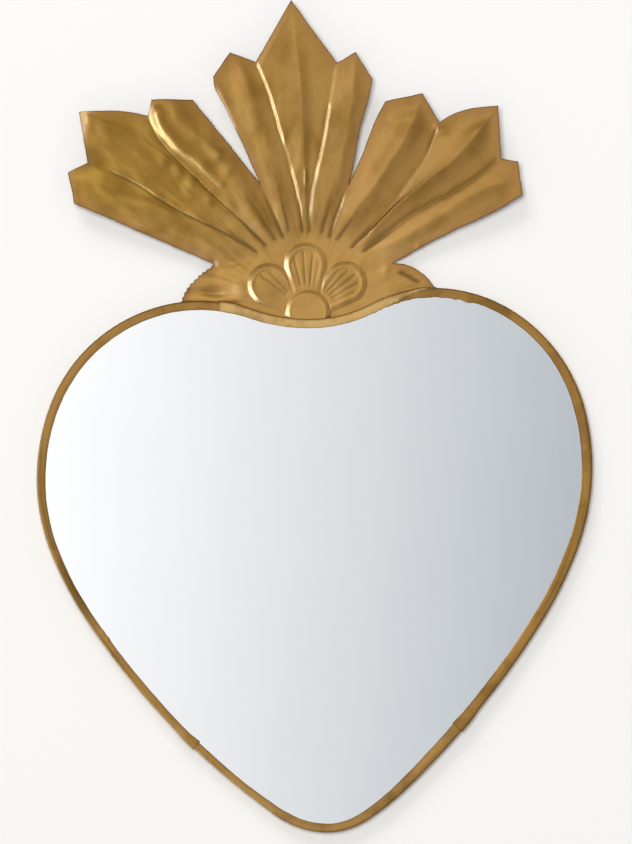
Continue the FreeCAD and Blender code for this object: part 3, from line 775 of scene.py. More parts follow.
# %% Fold lines from left to right
LEFT_SLIT = dict(
    stem=[(-12.8, 39.2), (-19.0, 54.5), (-26.3, 70.4)],
    left=[(-26.3, 70.4), (-33.2, 79.3), (-51.1, 101.4), (-63.4, 116.5)],
    right=[(-26.3, 70.4), (-35.7, 91.8), (-44.7, 111.0), (-51.7, 125.3), (-52.2, 129.2)],
)
RIGHT_SLIT = dict(
    stem=[(11.3, 39.4), (16.8, 55.0), (22.4, 70.0)],
    left=[(22.4, 70.0), (24.8, 80.2), (28.6, 100.6), (33.0, 116.0), (35.6, 127.7)],
    right=[(22.4, 70.0), (30.6, 88.5), (36.3, 103.3), (42.4, 115.7)],
)
FOLD_LINES = [
    [(-51.7, 26.3), (-81.1, 39.1), (-114.4, 53.5), (-128.4, 59.4)],
    [(-31.0, 30.3), (-59.4, 45.0), (-86.9, 58.8), (-108.9, 67.0), (-130.7, 70.5)],
    [(-26.5, 31.5), (-37.4, 39.5), (-70.4, 56.0), (-100.6, 74.2), (-111.6, 79.1), (-121.0, 81.9)],
    [(-24.8, 33.6), (-40.1, 47.8), (-64.9, 72.5), (-86.9, 91.8), (-125.9, 109.9)],
    [(-21.8, 35.0), (-35.7, 49.4), (-59.4, 71.4), (-71.5, 83.5), (-81.4, 94.5), (-88.1, 107.7)],
    [(-17.0, 37.9), (-31.9, 61.5), (-51.1, 87.9), (-64.9, 100.0), (-73.7, 109.9), (-74.8, 116.8)],
    LEFT_SLIT,
    [(-9.9, 42.3), (-17.0, 72.5), (-27.5, 105.5), (-35.7, 130.3), (-42.9, 142.5)],
    [(-2.7, 42.0), (-4.9, 61.5), (-13.7, 94.5), (-22.0, 122.0), (-28.6, 137.4)],
    [(-1.0, 42.0), (-2.2, 80.2), (-4.4, 129.7), (-9.3, 171.2)],
    [(0.7, 42.0), (1.9, 61.5), (8.8, 94.5), (13.8, 124.8), (16.0, 136.9)],
    [(7.2, 41.7), (14.9, 69.8), (22.6, 108.3), (25.3, 127.5), (26.2, 142.7)],
    RIGHT_SLIT,
    [(15.2, 38.2), (28.1, 56.8), (40.6, 75.6), (52.1, 93.4), (61.5, 114.3), (63.0, 120.1)],
    [(23.1, 34.0), (45.1, 57.1), (56.1, 72.5), (64.4, 84.6), (72.6, 103.9)],
    [(26.4, 32.9), (45.1, 54.9), (61.6, 69.8), (80.9, 84.6), (104.5, 113.3)],
    [(29.5, 31.8), (56.1, 52.2), (89.1, 70.9), (106.2, 84.1)],
    [(35.2, 31.3), (72.6, 53.3), (94.6, 67.0), (116.6, 73.6)],
    [(46.8, 26.9), (71.0, 40.2), (104.2, 56.0), (118.2, 64.1)],
]
PANELS = len(FOLD_LINES) - 1
print(PANELS, "panels between", len(FOLD_LINES), "fold lines")

# %% Points along a fold
ROWS = 84
SPLIT_ROW = 32


def along_line(points, share):
    """The point a share of the way along a smooth line through the given points."""
    knots = np.array(points)
    spans = lengths_along(knots)
    spans /= spans[-1]
    slopes = np.gradient(knots, spans, axis=0)
    k = min(len(knots) - 2, int(np.searchsorted(spans, share, side="right")) - 1)
    width = spans[k + 1] - spans[k]
    t = (share - spans[k]) / width
    near = (1 + 2 * t) * (1 - t) ** 2 * knots[k] + t * (1 - t) ** 2 * width * slopes[k]
    far = t * t * (3 - 2 * t) * knots[k + 1] + t * t * (t - 1) * width * slopes[k + 1]
    return near + far


def fold_rows(line, side):
    """A fold line's points row by row, as the panel at its left or right sees them."""
    if isinstance(line, dict):
        stem = [along_line(line["stem"], j / SPLIT_ROW) for j in range(SPLIT_ROW)]
        edge = [along_line(line[side], j / (ROWS - SPLIT_ROW)) for j in range(ROWS - SPLIT_ROW + 1)]
        return np.array(stem + edge)
    return np.array([along_line(line, j / ROWS) for j in range(ROWS + 1)])


panel_left = [fold_rows(FOLD_LINES[p], "right") for p in range(PANELS)]
panel_right = [fold_rows(FOLD_LINES[p + 1], "left") for p in range(PANELS)]
panel_width = [np.linalg.norm(b - a, axis=1) for a, b in zip(panel_left, panel_right)]
print("panel widths at the ends:", [round(float(w[-1])) for w in panel_width])

# %% [markdown]
# ## The crest: relief of a flute
# Hammering along a groove leaves a short steep step at its right, then a long easy slope up to the
# ridge. Past the ridge the sheet drops quickly and flattens out again. The rise grows with the
# flute's width and dies away towards the cut end, where the sheet was held, and towards the shell.
# There each groove and some of the ridges got one more short stroke of the punch. Columns of the
# grid crowd at the groove, to draw the step, and at the ridge, to keep it crisp.

# %% Columns across the panels
COLUMNS = [34] + [13] * 12 + [16, 13, 13, 13, 22]
GROOVE_COLUMNS = 4
RIDGE_COLUMNS = 2
RIDGE_SPACING = 0.8
STEP_WIDTH = (2.0, 1.6, 2.0, 2.0, 2.4, 2.6, 1.6, 1.4, 1.4)


def column_share(panel, i, j):
    """How far across a panel a column lies at a row."""
    rising = panel % 2 == 0
    count = COLUMNS[panel]
    width = panel_width[panel][j]
    k = i if rising else count - i
    flute = panel // 2 if rising else min(panel // 2 + 1, len(STEP_WIDTH) - 1)
    near = min(STEP_WIDTH[flute] / GROOVE_COLUMNS, width / count)
    far = min(RIDGE_SPACING, width / count)
    first = GROOVE_COLUMNS
    last = count - RIDGE_COLUMNS
    if k <= first:
        reach = k * near
    elif k >= last:
        reach = width - (count - k) * far
    else:
        low = first * near
        high = width - RIDGE_COLUMNS * far
        reach = low + (high - low) * (k - first) / (last - first)
    return reach / width if rising else 1 - reach / width


print("columns across the fan:", sum(COLUMNS))

# %% Relief across the panels
# Rows of nine hold one value for each flute, from left to right
FLUTE_RISE = (2.8, 1.5, 4.4, 2.3, 2.4, 2.3, 3.6, 3.8, 2.8)
HALF_RISE_WIDTH = 20.0
NARROW_SLOPE = 0.3
NARROW_RISE = 0.15
RIDGE_ROUND = (3.0, 8.0, 3.5, 3.0, 4.5, 4.0, 0.8, 0.8, 1.5)
FALL_POWER = (2.0, 1.6, 2.2, 2.4, 6.0, 2.4, 2.2, 2.4, 2.0)
FALL_SHARE = (0.5, 0.6, 0.5, 0.4, 0.25, 0.4, 0.35, 0.3, 0.4)
END_FADE = (10.0, 20.0, 8.0, 20.0, 60.0, 20.0, 16.0, 18.0, 16.0)
END_FLAT = (1.5, 1.5, 1.5, 1.5, 1.5, 3.0, 5.0, 5.0, 3.0)
END_SHARE = (0.2, 0.2, 0.6, 0.3, 0.1, 0.3, 0.05, 0.05, 0.05)
STEP_RISE = (0.5, 0.45, 0.05, 0.05, 1.5, 1.5, 0.7, 0.05, 0.1)
STEP_END = (0.5, 4.0)
# A step is held below a share of its ridge and a little more, and to a share of its panel's width
STEP_OF_RIDGE = 0.9
STEP_EXTRA = 0.3
STEP_OF_PANEL = 0.5
STEP_DIMMING = 0.7
DIM_FADE = 0.08
# Stretches of a fold, as shares of its length, where its step was hardly struck
STEP_DIMS = {1: ((0.88, 1.1),), 4: ((0.36, 0.53), (-0.1, 0.19)), 5: ((0.75, 1.1),), 7: ((0.2, 0.8),)}
GROOVE_DEPTH = (0.0, 0.3, 0.2, 0.1, 0.1, 0.1, 0.1, 0.3, 0.35)
GROOVE_WIDTH = (0.8, 0.8, 0.8, 0.8, 0.8, 0.8, 0.8, 1.0, 1.8)
ROOT_FADE = 0.17
# The extra strokes near the shell, with the shares of a fold's length where they start and end
STROKE_DEPTH = 0.24
STROKE_WIDTH = 1.3
STROKE_START = 0.03
STROKE_END = (0.42, 0.10)
STRUCK_RIDGES = (5, 7, 11, 13)
RIDGE_STROKE = 0.8
# How much tarnish a groove and a stroke hold, and where it starts and ends in a groove
GROOVE_GRIME = 0.4
STROKE_GRIME = 0.7
GRIME_START = 0.1
GRIME_END = (0.5, 5.0)
FREE_LINES = (0, PANELS)
SLIT_LINES = [k for k, line in enumerate(FOLD_LINES) if isinstance(line, dict)]
STEM_FADE_ROWS = 12


def ridge_rise(flute, j):
    """The height of a flute's ridge at a row."""
    left = panel_width[2 * flute][j]
    right = panel_width[2 * flute + 1][j]
    rise = FLUTE_RISE[flute] * (left + right) / (left + right + HALF_RISE_WIDTH)
    return min(rise, NARROW_SLOPE * min(left, right) + NARROW_RISE)


def step_strength(line, flute, j):
    share = ramp(SPLIT_ROW, SPLIT_ROW - STEM_FADE_ROWS, j) if line in SLIT_LINES else 1.0
    for low, high in STEP_DIMS.get(flute, ()):
        share *= 1 - STEP_DIMMING * stretch(low - DIM_FADE / 2, high + DIM_FADE / 2, DIM_FADE, j / ROWS)
    return share


def groove_relief(line, flute, j, beyond):
    """The step and the groove at a fold line, at a distance beyond it, minus being at its left."""
    if line in FREE_LINES:
        return 0.0, 0.0
    strength = step_strength(line, flute, j)
    height = strength * min(STEP_RISE[flute], STEP_OF_RIDGE * ridge_rise(flute, j) + STEP_EXTRA)
    width = min(STEP_WIDTH[flute], STEP_OF_PANEL * panel_width[2 * flute][j])
    climb = clamp(beyond / width + 0.5)
    groove = strength * math.exp(-((beyond + width / 2) / GROOVE_WIDTH[flute]) ** 2)
    return height * climb - GROOVE_DEPTH[flute] * groove, groove


def from_ridge(reach, width, radius):
    """Share of the way from a ridge to the groove, rounded over near the ridge."""
    return (math.hypot(reach, radius) - radius) / (math.hypot(width, radius) - radius)


def flute_relief(panel, i, j):
    """The rise at a corner of a panel's grid, and how much of a groove it lies in."""
    flute = panel // 2
    rising = panel % 2 == 0
    share = column_share(panel, i, j)
    width = panel_width[panel][j]
    ridge = ridge_rise(flute, j)
    line = panel if rising else panel + 1
    owner = flute if rising else min(flute + 1, len(FLUTE_RISE) - 1)
    beyond = share * width if rising else (share - 1) * width
    step, groove = groove_relief(line, owner, j, beyond)
    lengths = [np.linalg.norm(side[panel][-1] - side[panel][0]) for side in (panel_left, panel_right)]
    to_end = (1 - j / ROWS) * (lengths[0] * (1 - share) + lengths[1] * share)
    held = END_SHARE[flute] + (1 - END_SHARE[flute]) * ramp(END_FLAT[flute], END_FADE[flute], to_end)
    struck = ramp(*STEP_END, to_end)
    if rising:
        climb = 1 - from_ridge((1 - share) * width, width, RIDGE_ROUND[flute])
        start = groove_relief(line, owner, j, width)[0]
        rise = step * struck + (ridge * held - start * struck) * climb
    else:
        left = 1 - from_ridge(share * width, width, RIDGE_ROUND[flute])
        easy = FALL_SHARE[flute]
        rise = step * struck + ridge * held * (easy * left + (1 - easy) * left ** FALL_POWER[flute])
    rise *= ramp(0.0, ROOT_FADE, j / ROWS)
    stroke = 0.0 if line in FREE_LINES else math.exp(-(beyond / STROKE_WIDTH) ** 2)
    if (panel + 1 if rising else panel) in STRUCK_RIDGES:
        past_ridge = (1 - share) * width if rising else share * width
        stroke = max(stroke, RIDGE_STROKE * math.exp(-(past_ridge / STROKE_WIDTH) ** 2))
    stroke *= ramp(*STROKE_END, j / ROWS) * ramp(0.0, STROKE_START, j / ROWS)
    darkening = GROOVE_GRIME * groove * ramp(0.0, GRIME_START, j / ROWS) * ramp(*GRIME_END, to_end)
    return rise - STROKE_DEPTH * stroke, max(darkening, STROKE_GRIME * stroke)


ridges = [flute_relief(panel, COLUMNS[panel], j)[0] for panel in range(0, PANELS, 2) for j in range(ROWS)]
print("highest ridge:", round(max(ridges), 2), "mm")

# %% Cut ends with a corner or a bow
END_CORNERS = {1: (5, (-132.0, 76.5)), 4: (7, (-86.0, 116.5)), 16: (7, (115.5, 82.5))}
# Ends cut as a bow: its height, and a power that moves its highest point
END_BOWS = {3: (1.8, 1.1), 14: (3.0, 0.75)}
CORNER_START = 0.8


def panel_point(panel, i, j):
    """A corner of a panel's grid in the plane of the sheet."""
    share = column_share(panel, i, j)
    point = panel_left[panel][j] * (1 - share) + panel_right[panel][j] * share
    ends = panel_left[panel][-1], panel_right[panel][-1]
    growth = (max(0.0, j / ROWS - CORNER_START) / (1 - CORNER_START)) ** 2
    if panel in END_CORNERS:
        column, corner = END_CORNERS[panel]
        corner_share = column_share(panel, column, ROWS)
        tent = min(share / corner_share, (1 - share) / (1 - corner_share))
        straight = ends[0] * (1 - corner_share) + ends[1] * corner_share
        point = point + (np.array(corner) - straight) * tent * growth
    if panel in END_BOWS:
        height, power = END_BOWS[panel]
        chord = ends[1] - ends[0]
        away = np.array((-chord[1], chord[0])) / np.linalg.norm(chord)
        point = point + away * height * math.sin(math.pi * share ** power) * growth
    return point


print("corner of the left lobe:", panel_point(1, 5, ROWS).round(1))

# %% [markdown]
# ## The crest: shell and leaves
# Below the fan the sheet is chased with a shell: a round boss, three petals with raised borders and
# punched rays, and a plain leaf at each side that runs down to the rim. These are drawn as
# distances: a petal is a round end that tapers to the boss, its border is a ridge just inside
# that outline, and a ray is a groove at a fixed angle round the boss.

# %% Shell of three petals
BOSS_R = 12.6
BOSS_RISE = 1.5
PETAL_REACH = 26.3
PETAL_R = 11.7
PETAL_NECK = 5.0
PETAL_RISE = 1.55
PETAL_ROOT = (14.0, 25.0)
PETAL_ROOT_SHARE = 0.4
SHALLOW_RIGHT = 0.35
SHALLOW_SPAN = (-8.0, 8.0)
UNEVEN = 0.25
UNEVEN_SIZE = 7.0
# A border's outer and inner slope, and the share of its height that the floor inside it keeps
PETAL_BORDER = (2.4, 2.0, 0.74)
BOSS_BORDER = (2.6, 1.0, 0.92)
BORDER_TOE = 0.3
COVER = (0.4, -0.3)
SEAM_WIDTH = 0.6
RAY_DEPTH = 0.3
RAY_WIDTH = 0.7
RAY_START = (13.5, 16.0)
RAY_END = (-3.8, -5.4)
# How much tarnish a ray, a petal's seam and the boss's seam hold
RAY_GRIME = 0.3
PETAL_GRIME = 0.12
BOSS_GRIME = 0.1
# Angle of each petal and of the rays in it. The middle petal lies over the others.
PETALS = (
    (145.0, (127.0, 134.0, 142.0)),
    (38.0, (22.0, 30.0, 38.0, 46.0, 54.0)),
    (93.0, (104.5, 94.5, 85.0, 76.0)),
)


def outside_petal(u, w, angle):
    """Distance outside a petal's outline, negative inside."""
    c = math.cos(math.radians(angle))
    s = math.sin(math.radians(angle))
    along = u * c + w * s
    side = abs(w * c - u * s)
    slope = (PETAL_NECK - PETAL_R) / PETAL_REACH
    level = math.sqrt(1 - slope * slope)
    place = level * along - slope * side
    if place < 0:
        return math.hypot(side, along) - PETAL_NECK
    if place > level * PETAL_REACH:
        return math.hypot(side, along - PETAL_REACH) - PETAL_R
    return side * level + along * slope - PETAL_NECK


def bordered(outside, rise, outer, inner, floor):
    """A rolled border just inside an outline, and a floor that keeps a share of its height."""
    climb = clamp((BORDER_TOE - outside) / (outer + BORDER_TOE))
    return rise * (climb - (1 - floor) * ramp(-outer, -outer - inner, outside))


def shell_relief(u, w):
    """The rise of the shell at a point, and how much of a groove it lies in."""
    radius = math.hypot(u, w)
    bearing = math.degrees(math.atan2(w, u))
    rise = 0.0
    depth = 0.0
    for angle, rays in PETALS:
        outside = outside_petal(u, w, angle)
        cover = ramp(*COVER, outside)
        own = bordered(outside, PETAL_RISE, *PETAL_BORDER)
        own *= PETAL_ROOT_SHARE + (1 - PETAL_ROOT_SHARE) * ramp(*PETAL_ROOT, radius)
        own *= 1 + UNEVEN * ripple(u, w, UNEVEN_SIZE, 40)
        own *= 1 - SHALLOW_RIGHT * ramp(*SHALLOW_SPAN, u - PETAL_REACH * math.cos(math.radians(angle)))
        ray = max(math.exp(-(radius * math.radians(bearing - a) / RAY_WIDTH) ** 2) for a in rays)
        ray *= ramp(*RAY_END, outside) * ramp(*RAY_START, radius)
        rise = rise * (1 - cover) + (own - RAY_DEPTH * ray) * cover
        seam = math.exp(-(outside / SEAM_WIDTH) ** 2)
        depth = max(depth * (1 - cover), RAY_GRIME * ray, PETAL_GRIME * seam)
    outside = radius - BOSS_R
    cover = ramp(*COVER, outside)
    own = bordered(outside, BOSS_RISE, *BOSS_BORDER)
    seam = math.exp(-(outside / SEAM_WIDTH) ** 2)
    depth = max(depth * (1 - cover), BOSS_GRIME * seam)
    return rise * (1 - cover) + own * cover, depth


print("rise of boss and top petal in mm:", [round(shell_relief(*spot)[0], 2) for spot in ((0, 5), (-4, 30))])

# %% Leaves and their grooves
LEFT_LEAF = [(-70.5, 3.0), (-68.6, 9.5), (-64.0, 16.0), (-58.0, 21.6), (-51.7, 26.3)]
RIGHT_LEAF = [(46.8, 26.9), (55.5, 25.6), (62.5, 21.5), (67.6, 16.5), (71.0, 11.0)]
LEAF_STROKE = [(51.6, 21.4), (55.5, 19.4), (60.8, 16.6)]
STROKE_STEPS = 20
STROKE_REACH = 10.0
LEAF_STROKE_DEPTH = 0.3
LEAF_STROKE_WIDTH = 1.4
LEAF_SWELL = 1.6
LEAF_SWELL_AT = 14.0
LEAF_SWELL_REACH = 10.0
LEAF_SWELL_LEFT = (-46.0, -35.0)
LEAF_SWELL_RIGHT = (-8.0, -33.0)
# Crinkles of the left leaf: where they start and are full, and their height, width and length
CRINKLED = (-31.0, -42.0)
CRINKLE_RISE = 0.6
CRINKLE_WIDTH = 15.0
CRINKLE_LENGTH = 4.2
CRINKLE_SEED = 3.1
LUMP_RISE = 0.45
LUMP_SIZE = 9.0
# Snips along the left leaf's edge: their number and depth, and how uneven they are, in bumps along it
SNIPS = 10
SNIP_DEPTH = 0.8
SNIP_UNEVEN = 0.5
SNIP_BUMPS = 8.5
SNIP_FADE = 0.06
TINY_SHARE = 0.01
stroke_points = [along_line(LEAF_STROKE, k / STROKE_STEPS) for k in range(STROKE_STEPS + 1)]


def leaf_relief(u, w):
    """The left leaf's crinkles, its swell beside the shell, and a punch stroke on the right leaf."""
    swell = math.exp(-((w - LEAF_SWELL_AT) / LEAF_SWELL_REACH) ** 2)
    swell *= ramp(*LEAF_SWELL_LEFT, u) * ramp(*LEAF_SWELL_RIGHT, u)
    crinkle = noise.noise(Vector((u / CRINKLE_WIDTH, CRINKLE_SEED, w / CRINKLE_LENGTH)))
    rise = ramp(*CRINKLED, u) * (CRINKLE_RISE * crinkle + LUMP_RISE * ripple(u, w, LUMP_SIZE, 12))
    groove = 0.0
    if u > LEAF_STROKE[0][0] - STROKE_REACH:
        away = min(math.hypot(u - p[0], w - p[1]) for p in stroke_points)
        groove = math.exp(-(away / LEAF_STROKE_WIDTH) ** 2)
    return rise + LEAF_SWELL * swell - LEAF_STROKE_DEPTH * groove, STROKE_GRIME * groove


def snipped_leaf(share):
    """A point of the left leaf's edge, which was cut out in a row of small snips."""
    point = along_line(LEFT_LEAF, share)
    before, after = [along_line(LEFT_LEAF, clamp(share + step)) for step in (-TINY_SHARE, TINY_SHARE)]
    ahead = after - before
    inward = np.array((ahead[1], -ahead[0])) / np.linalg.norm(ahead)
    snip = abs(math.sin(math.pi * SNIPS * share))
    snip *= 1 + SNIP_UNEVEN * ripple(SNIP_BUMPS * share, 0, 1.0, 13)
    return point + inward * SNIP_DEPTH * (1 - snip) * stretch(0.0, 1.0, SNIP_FADE, share)


print("snips along the left leaf:", SNIPS)

# %% [markdown]
# ## The crest: lean, dents and the sheet itself
# The fan leans a little away from the wall, and the sheet is never flat: slow dents all over the fan,
# and hard knocks, most of them at the left. All panels and the base are laid flat first and joined,
# and then every corner is pushed out by its rise, so neighbouring grids can't come apart.

# %% Lean and dents
CREST_FRONT = -4.5
LEAN = math.tan(math.radians(4.0))
LEAN_START = 41.0
LEAN_ABOVE = (14.0, 40.0)
FAN_START = (36.0, 60.0)
WILD_LEFT = (-20.0, -50.0)
# Dents over the fan: height, how much more at the wild left, size, and a seed
DENTS = ((0.2, 0.40, 21.0, 21), (0.06, 0.38, 9.0, 22))
# Knocks: place, radius and height, minus for a dent
KNOCKS = (
    (-109.0, 88.0, 9.0, -1.0),
    (-79.2, 83.0, 3.0, 0.95),
    (-71.5, 76.9, 2.6, 0.85),
    (-64.9, 70.9, 2.6, 0.8),
    (-54.4, 61.0, 2.4, 0.65),
    (-49.0, 86.3, 3.0, 0.8),
    (-44.0, 77.5, 2.6, 0.6),
    (-120.0, 105.0, 2.0, 0.35),
    (-124.0, 63.0, 6.0, -0.6),
    (-52.2, 26.4, 2.2, -0.9),
    (42.9, 23.0, 2.6, 0.5),
    (71.3, 101.6, 1.5, 0.9),
    (73.2, 98.9, 1.5, 0.9),
    (60.9, 36.4, 1.3, 0.4),
)
# Welts rubbed up by the punch: the points along each, and at both ends its half width and its height,
# minus for a groove
ROLLED_EDGE = [
    (-83.0, 109.5), (-80.8, 103.2), (-77.2, 98.5), (-72.5, 93.0),
    (-66.6, 88.0), (-60.5, 83.5), (-55.0, 78.4), (-47.2, 70.1),
]
WELTS = (
    (ROLLED_EDGE, (3.4, 1.3), (3.0, 0.95)),
    ([(-35.6, 130.0), (-28.0, 102.2)], (3.0, 3.0), (0.4, 0.3)),
    ([(-1.3, 78.0), (-1.3, 70.5)], (0.9, 0.9), (0.65, 0.6)),
    ([(-73.1, 107.2), (-63.2, 98.4), (-49.0, 86.0)], (2.2, 2.2), (0.4, 0.3)),
    ([(-114.0, 103.0), (-96.0, 98.0)], (3.0, 3.0), (0.35, 0.35)),
    ([(-64.0, 12.2), (-48.0, 10.0)], (1.8, 1.8), (-0.6, -0.5)),
)
# Lines along which a cut edge was bent back, upper end first, with the slope and reach to their left
BENT_EDGES = (
    ((-119.0, 111.0), (-123.4, 89.0), 0.55, 12.0),
    ((-129.4, 78.0), (-126.8, 59.0), 0.2, 6.0),
    ((-49.8, 124.5), (-38.2, 99.5), 0.35, 2.2),
)
BENT_FADE = 6.0
WELT_REACH = 3.0


def beside(u, w, start, end):
    """How far a point lies along a line and to the right of it, and the line's length."""
    ahead = end[0] - start[0], end[1] - start[1]
    reach = u - start[0], w - start[1]
    length = math.hypot(*ahead)
    along = (reach[0] * ahead[0] + reach[1] * ahead[1]) / length
    right = (reach[0] * ahead[1] - reach[1] * ahead[0]) / length
    return along, right, length


def bent_back(u, w):
    """How far the bent edges fall back at a point."""
    back = 0.0
    for upper, lower, slope, reach in BENT_EDGES:
        along, left, length = beside(u, w, upper, lower)
        if 0.0 < left < reach:
            back += slope * left * stretch(-BENT_FADE / 2, length + BENT_FADE / 2, BENT_FADE, along)
    return back


def welted(u, w):
    """How far the welts stand out at a point."""
    out = 0.0
    for points, half_widths, heights in WELTS:
        farthest = WELT_REACH * max(half_widths)
        best = farthest
        share = 0.0
        for k, (start, end) in enumerate(zip(points, points[1:])):
            along, side, length = beside(u, w, start, end)
            past = max(0.0, -along, along - length)
            if math.hypot(side, past) < best:
                best = math.hypot(side, past)
                share = (k + clamp(along / length)) / (len(points) - 1)
        if best < farthest:
            reach = half_widths[0] + (half_widths[1] - half_widths[0]) * share
            out += (heights[0] + (heights[1] - heights[0]) * share) * math.exp(-(best / reach) ** 2)
    return out


def sheet_depth(u, w):
    """How far the bare sheet stands in front of its flat base, before its relief."""
    radius = math.hypot(u, w)
    out = LEAN * max(0.0, radius - LEAN_START) * ramp(*LEAN_ABOVE, w)
    for height, wilder, size, seed in DENTS:
        height += wilder * ramp(*WILD_LEFT, u)
        out += height * ripple(u, w, size, seed) * ramp(*FAN_START, radius)
    for x, z, reach, height in KNOCKS:
        out += height * math.exp(-((u - x) ** 2 + (w - z) ** 2) / reach ** 2)
    return out + welted(u, w) - bent_back(u, w)


print("the tip stands forward by", round(sheet_depth(*FOLD_LINES[PANELS // 2][-1]), 2), "mm")

# %% Foot of the crest on the rim
FOOT_GAP = -0.1
FOOT_GAP_AT_LAP = 0.5
LAP_END_FADE = 0.4


def nearest_station(u, w):
    """The distance along the rim, from the dip, of the rim's point nearest to a place on the crest."""
    away = np.hypot(heart_line[:, 0] - BOSS_X - u, heart_line[:, 1] - BOSS_Z - w)
    found = float(stations[np.argmin(away)])
    return found if found < HEART_LENGTH / 2 else found - HEART_LENGTH


def foot_point(s):
    """A point of the crest's lower edge, just outside the rim and clear of its laps."""
    lap = 0.0
    for side, butt in ((-1, LAP_LEFT_OF_DIP), (1, LAP_RIGHT_OF_DIP)):
        end = butt + LAP_LENGTH
        lap = max(lap, ramp(butt - LAP_ROOT, butt, side * s) * ramp(end + LAP_END_FADE, end, side * s))
    x, z = heart(s, FOOT_GAP + (FOOT_GAP_AT_LAP - FOOT_GAP) * lap)
    return np.array((x - BOSS_X, z - BOSS_Z))


foot_left = nearest_station(*LEFT_LEAF[0])
foot_right = nearest_station(*RIGHT_LEAF[-1])
print(f"foot from {foot_left:.1f} to {foot_right:.1f} mm along the rim")

# %% Lay the base and the panels, and join them
LEFT_COLUMNS = 56
RIGHT_COLUMNS = 24
BASE_ROWS = 72
ROOT_OVERLAP = 3
LEAF_FADE = (1.0, 0.9)
JOIN = 0.004


def base_top():
    """The upper edge of the base, from the left leaf over the roots of the folds to the right leaf."""
    points = [snipped_leaf(k / LEFT_COLUMNS) for k in range(LEFT_COLUMNS)]
    for panel in range(PANELS):
        points += [panel_point(panel, i, 0) for i in range(COLUMNS[panel])]
    points += [along_line(RIGHT_LEAF, k / RIGHT_COLUMNS) for k in range(RIGHT_COLUMNS + 1)]
    return np.array(points)


top_edge = base_top()
top_share = lengths_along(top_edge)
top_share /= top_share[-1]
foot_stations = foot_left + (foot_right - foot_left) * top_share
foot_edge = np.array([foot_point(s) for s in foot_stations])

bm = bmesh.new()
rise_layer = bm.verts.layers.float.new("rise")
hollow_layer = bm.verts.layers.float.new("tarnish_and_painted_shade")
foot_layer = bm.verts.layers.float.new("foot")


def lay_panel(panel):
    def place(i, j):
        point = panel_point(panel, i, j)
        return Vector((point[0], 0.0, point[1]))

    verts = laid_grid(bm, COLUMNS[panel], ROWS, place)
    for k, vert in enumerate(verts):
        i = k % (COLUMNS[panel] + 1)
        j = k // (COLUMNS[panel] + 1)
        vert[rise_layer], vert[hollow_layer] = flute_relief(panel, i, j)


def lay_base():
    def place(i, j):
        point = foot_edge[i] + (top_edge[i] - foot_edge[i]) * j / BASE_ROWS
        return Vector((point[0], 0.0, point[1]))

    columns = len(top_edge) - 1
    verts = laid_grid(bm, columns, BASE_ROWS, place)
    for k, vert in enumerate(verts):
        shell = shell_relief(vert.co.x, vert.co.z)
        leaf = leaf_relief(vert.co.x, vert.co.z)
        i = k % (columns + 1)
        under_fan = LEFT_COLUMNS - ROOT_OVERLAP <= i <= columns - RIGHT_COLUMNS
        fade = ramp(*LEAF_FADE, k // (columns + 1) / BASE_ROWS) if under_fan else 1.0
        vert[rise_layer] = shell[0] + leaf[0] * fade
        vert[hollow_layer] = max(shell[1], leaf[1])
        vert[foot_layer] = 1.0 if k <= columns else 0.0


lay_base()
for panel in range(PANELS):
    lay_panel(panel)
bmesh.ops.remove_doubles(bm, verts=bm.verts, dist=JOIN)
print("crest sheet:", len(bm.faces), "faces")

# %% Push the sheet into shape
WOBBLE = 0.3
WOBBLE_SIZE = 6.0
WOBBLE_START = (28.0, 48.0)


def push_out(vert):
    u, w = vert.co.x, vert.co.z
    loose = WOBBLE * ramp(*WOBBLE_START, math.hypot(u, w))
    out = sheet_depth(u, w) + vert[rise_layer]
    x = BOSS_X + u + loose * ripple(u, w, WOBBLE_SIZE, 31)
    z = BOSS_Z + w + loose * ripple(u, w, WOBBLE_SIZE, 32)
    return Vector((x, CREST_FRONT - out, z))


for vert in bm.verts:
    vert.co = push_out(vert)
cut_corners = add_edge_distance(bm, lambda vert: vert[foot_layer] < 0.5)
print("cut edge:", cut_corners, "corners")

# %% [markdown]
# ## The crest: tabs
# Behind the rim the crest is held by six snipped tabs, bent back along the rim's wall and soldered.
# The foot's edges there are extruded straight back, and the whole sheet then gets its thickness.

# %% Tabs and thickness
TAB_CENTRES = (-62.0, -33.0, -16.0, 18.0, 36.0, 54.0)
TAB_WIDTH = 8.0
TAB_END = -1.2


def on_tab(edge):
    if not all(vert[foot_layer] > 0.5 for vert in edge.verts):
        return False
    middle = (edge.verts[0].co + edge.verts[1].co) / 2
    s = nearest_station(middle.x - BOSS_X, middle.z - BOSS_Z)
    return any(abs(s - centre) < TAB_WIDTH / 2 for centre in TAB_CENTRES)


tab_edges = [edge for edge in bm.edges if edge.is_boundary and on_tab(edge)]
bent = bmesh.ops.extrude_edge_only(bm, edges=tab_edges)
tab_verts = [item for item in bent["geom"] if isinstance(item, bmesh.types.BMVert)]
for vert in tab_verts:
    vert.co.y = TAB_END
bmesh.ops.dissolve_degenerate(bm, dist=JOIN, edges=bm.edges)
face_front(bm)
for layer_name in ("rise", "foot"):
    bm.verts.layers.float.remove(bm.verts.layers.float[layer_name])
finish_piece(bm, "embossed_crest", "crest", [crest_brass, brass_back], SHEET)

# %% [markdown]
# ## Solder
# Melted solder draws itself into a rounded bead and sets dull. Each bead is a small ball, stretched
# along its joint and made a little lumpy: beside the free end of every lap, at the end of every
# tab, and as two long fillets beside the hanging strap.

# %% Beads of solder
BALL_DETAIL = 3
LUMPINESS = 0.12
LUMPS_ALONG = 6
BEAD_LUMP = 2.0
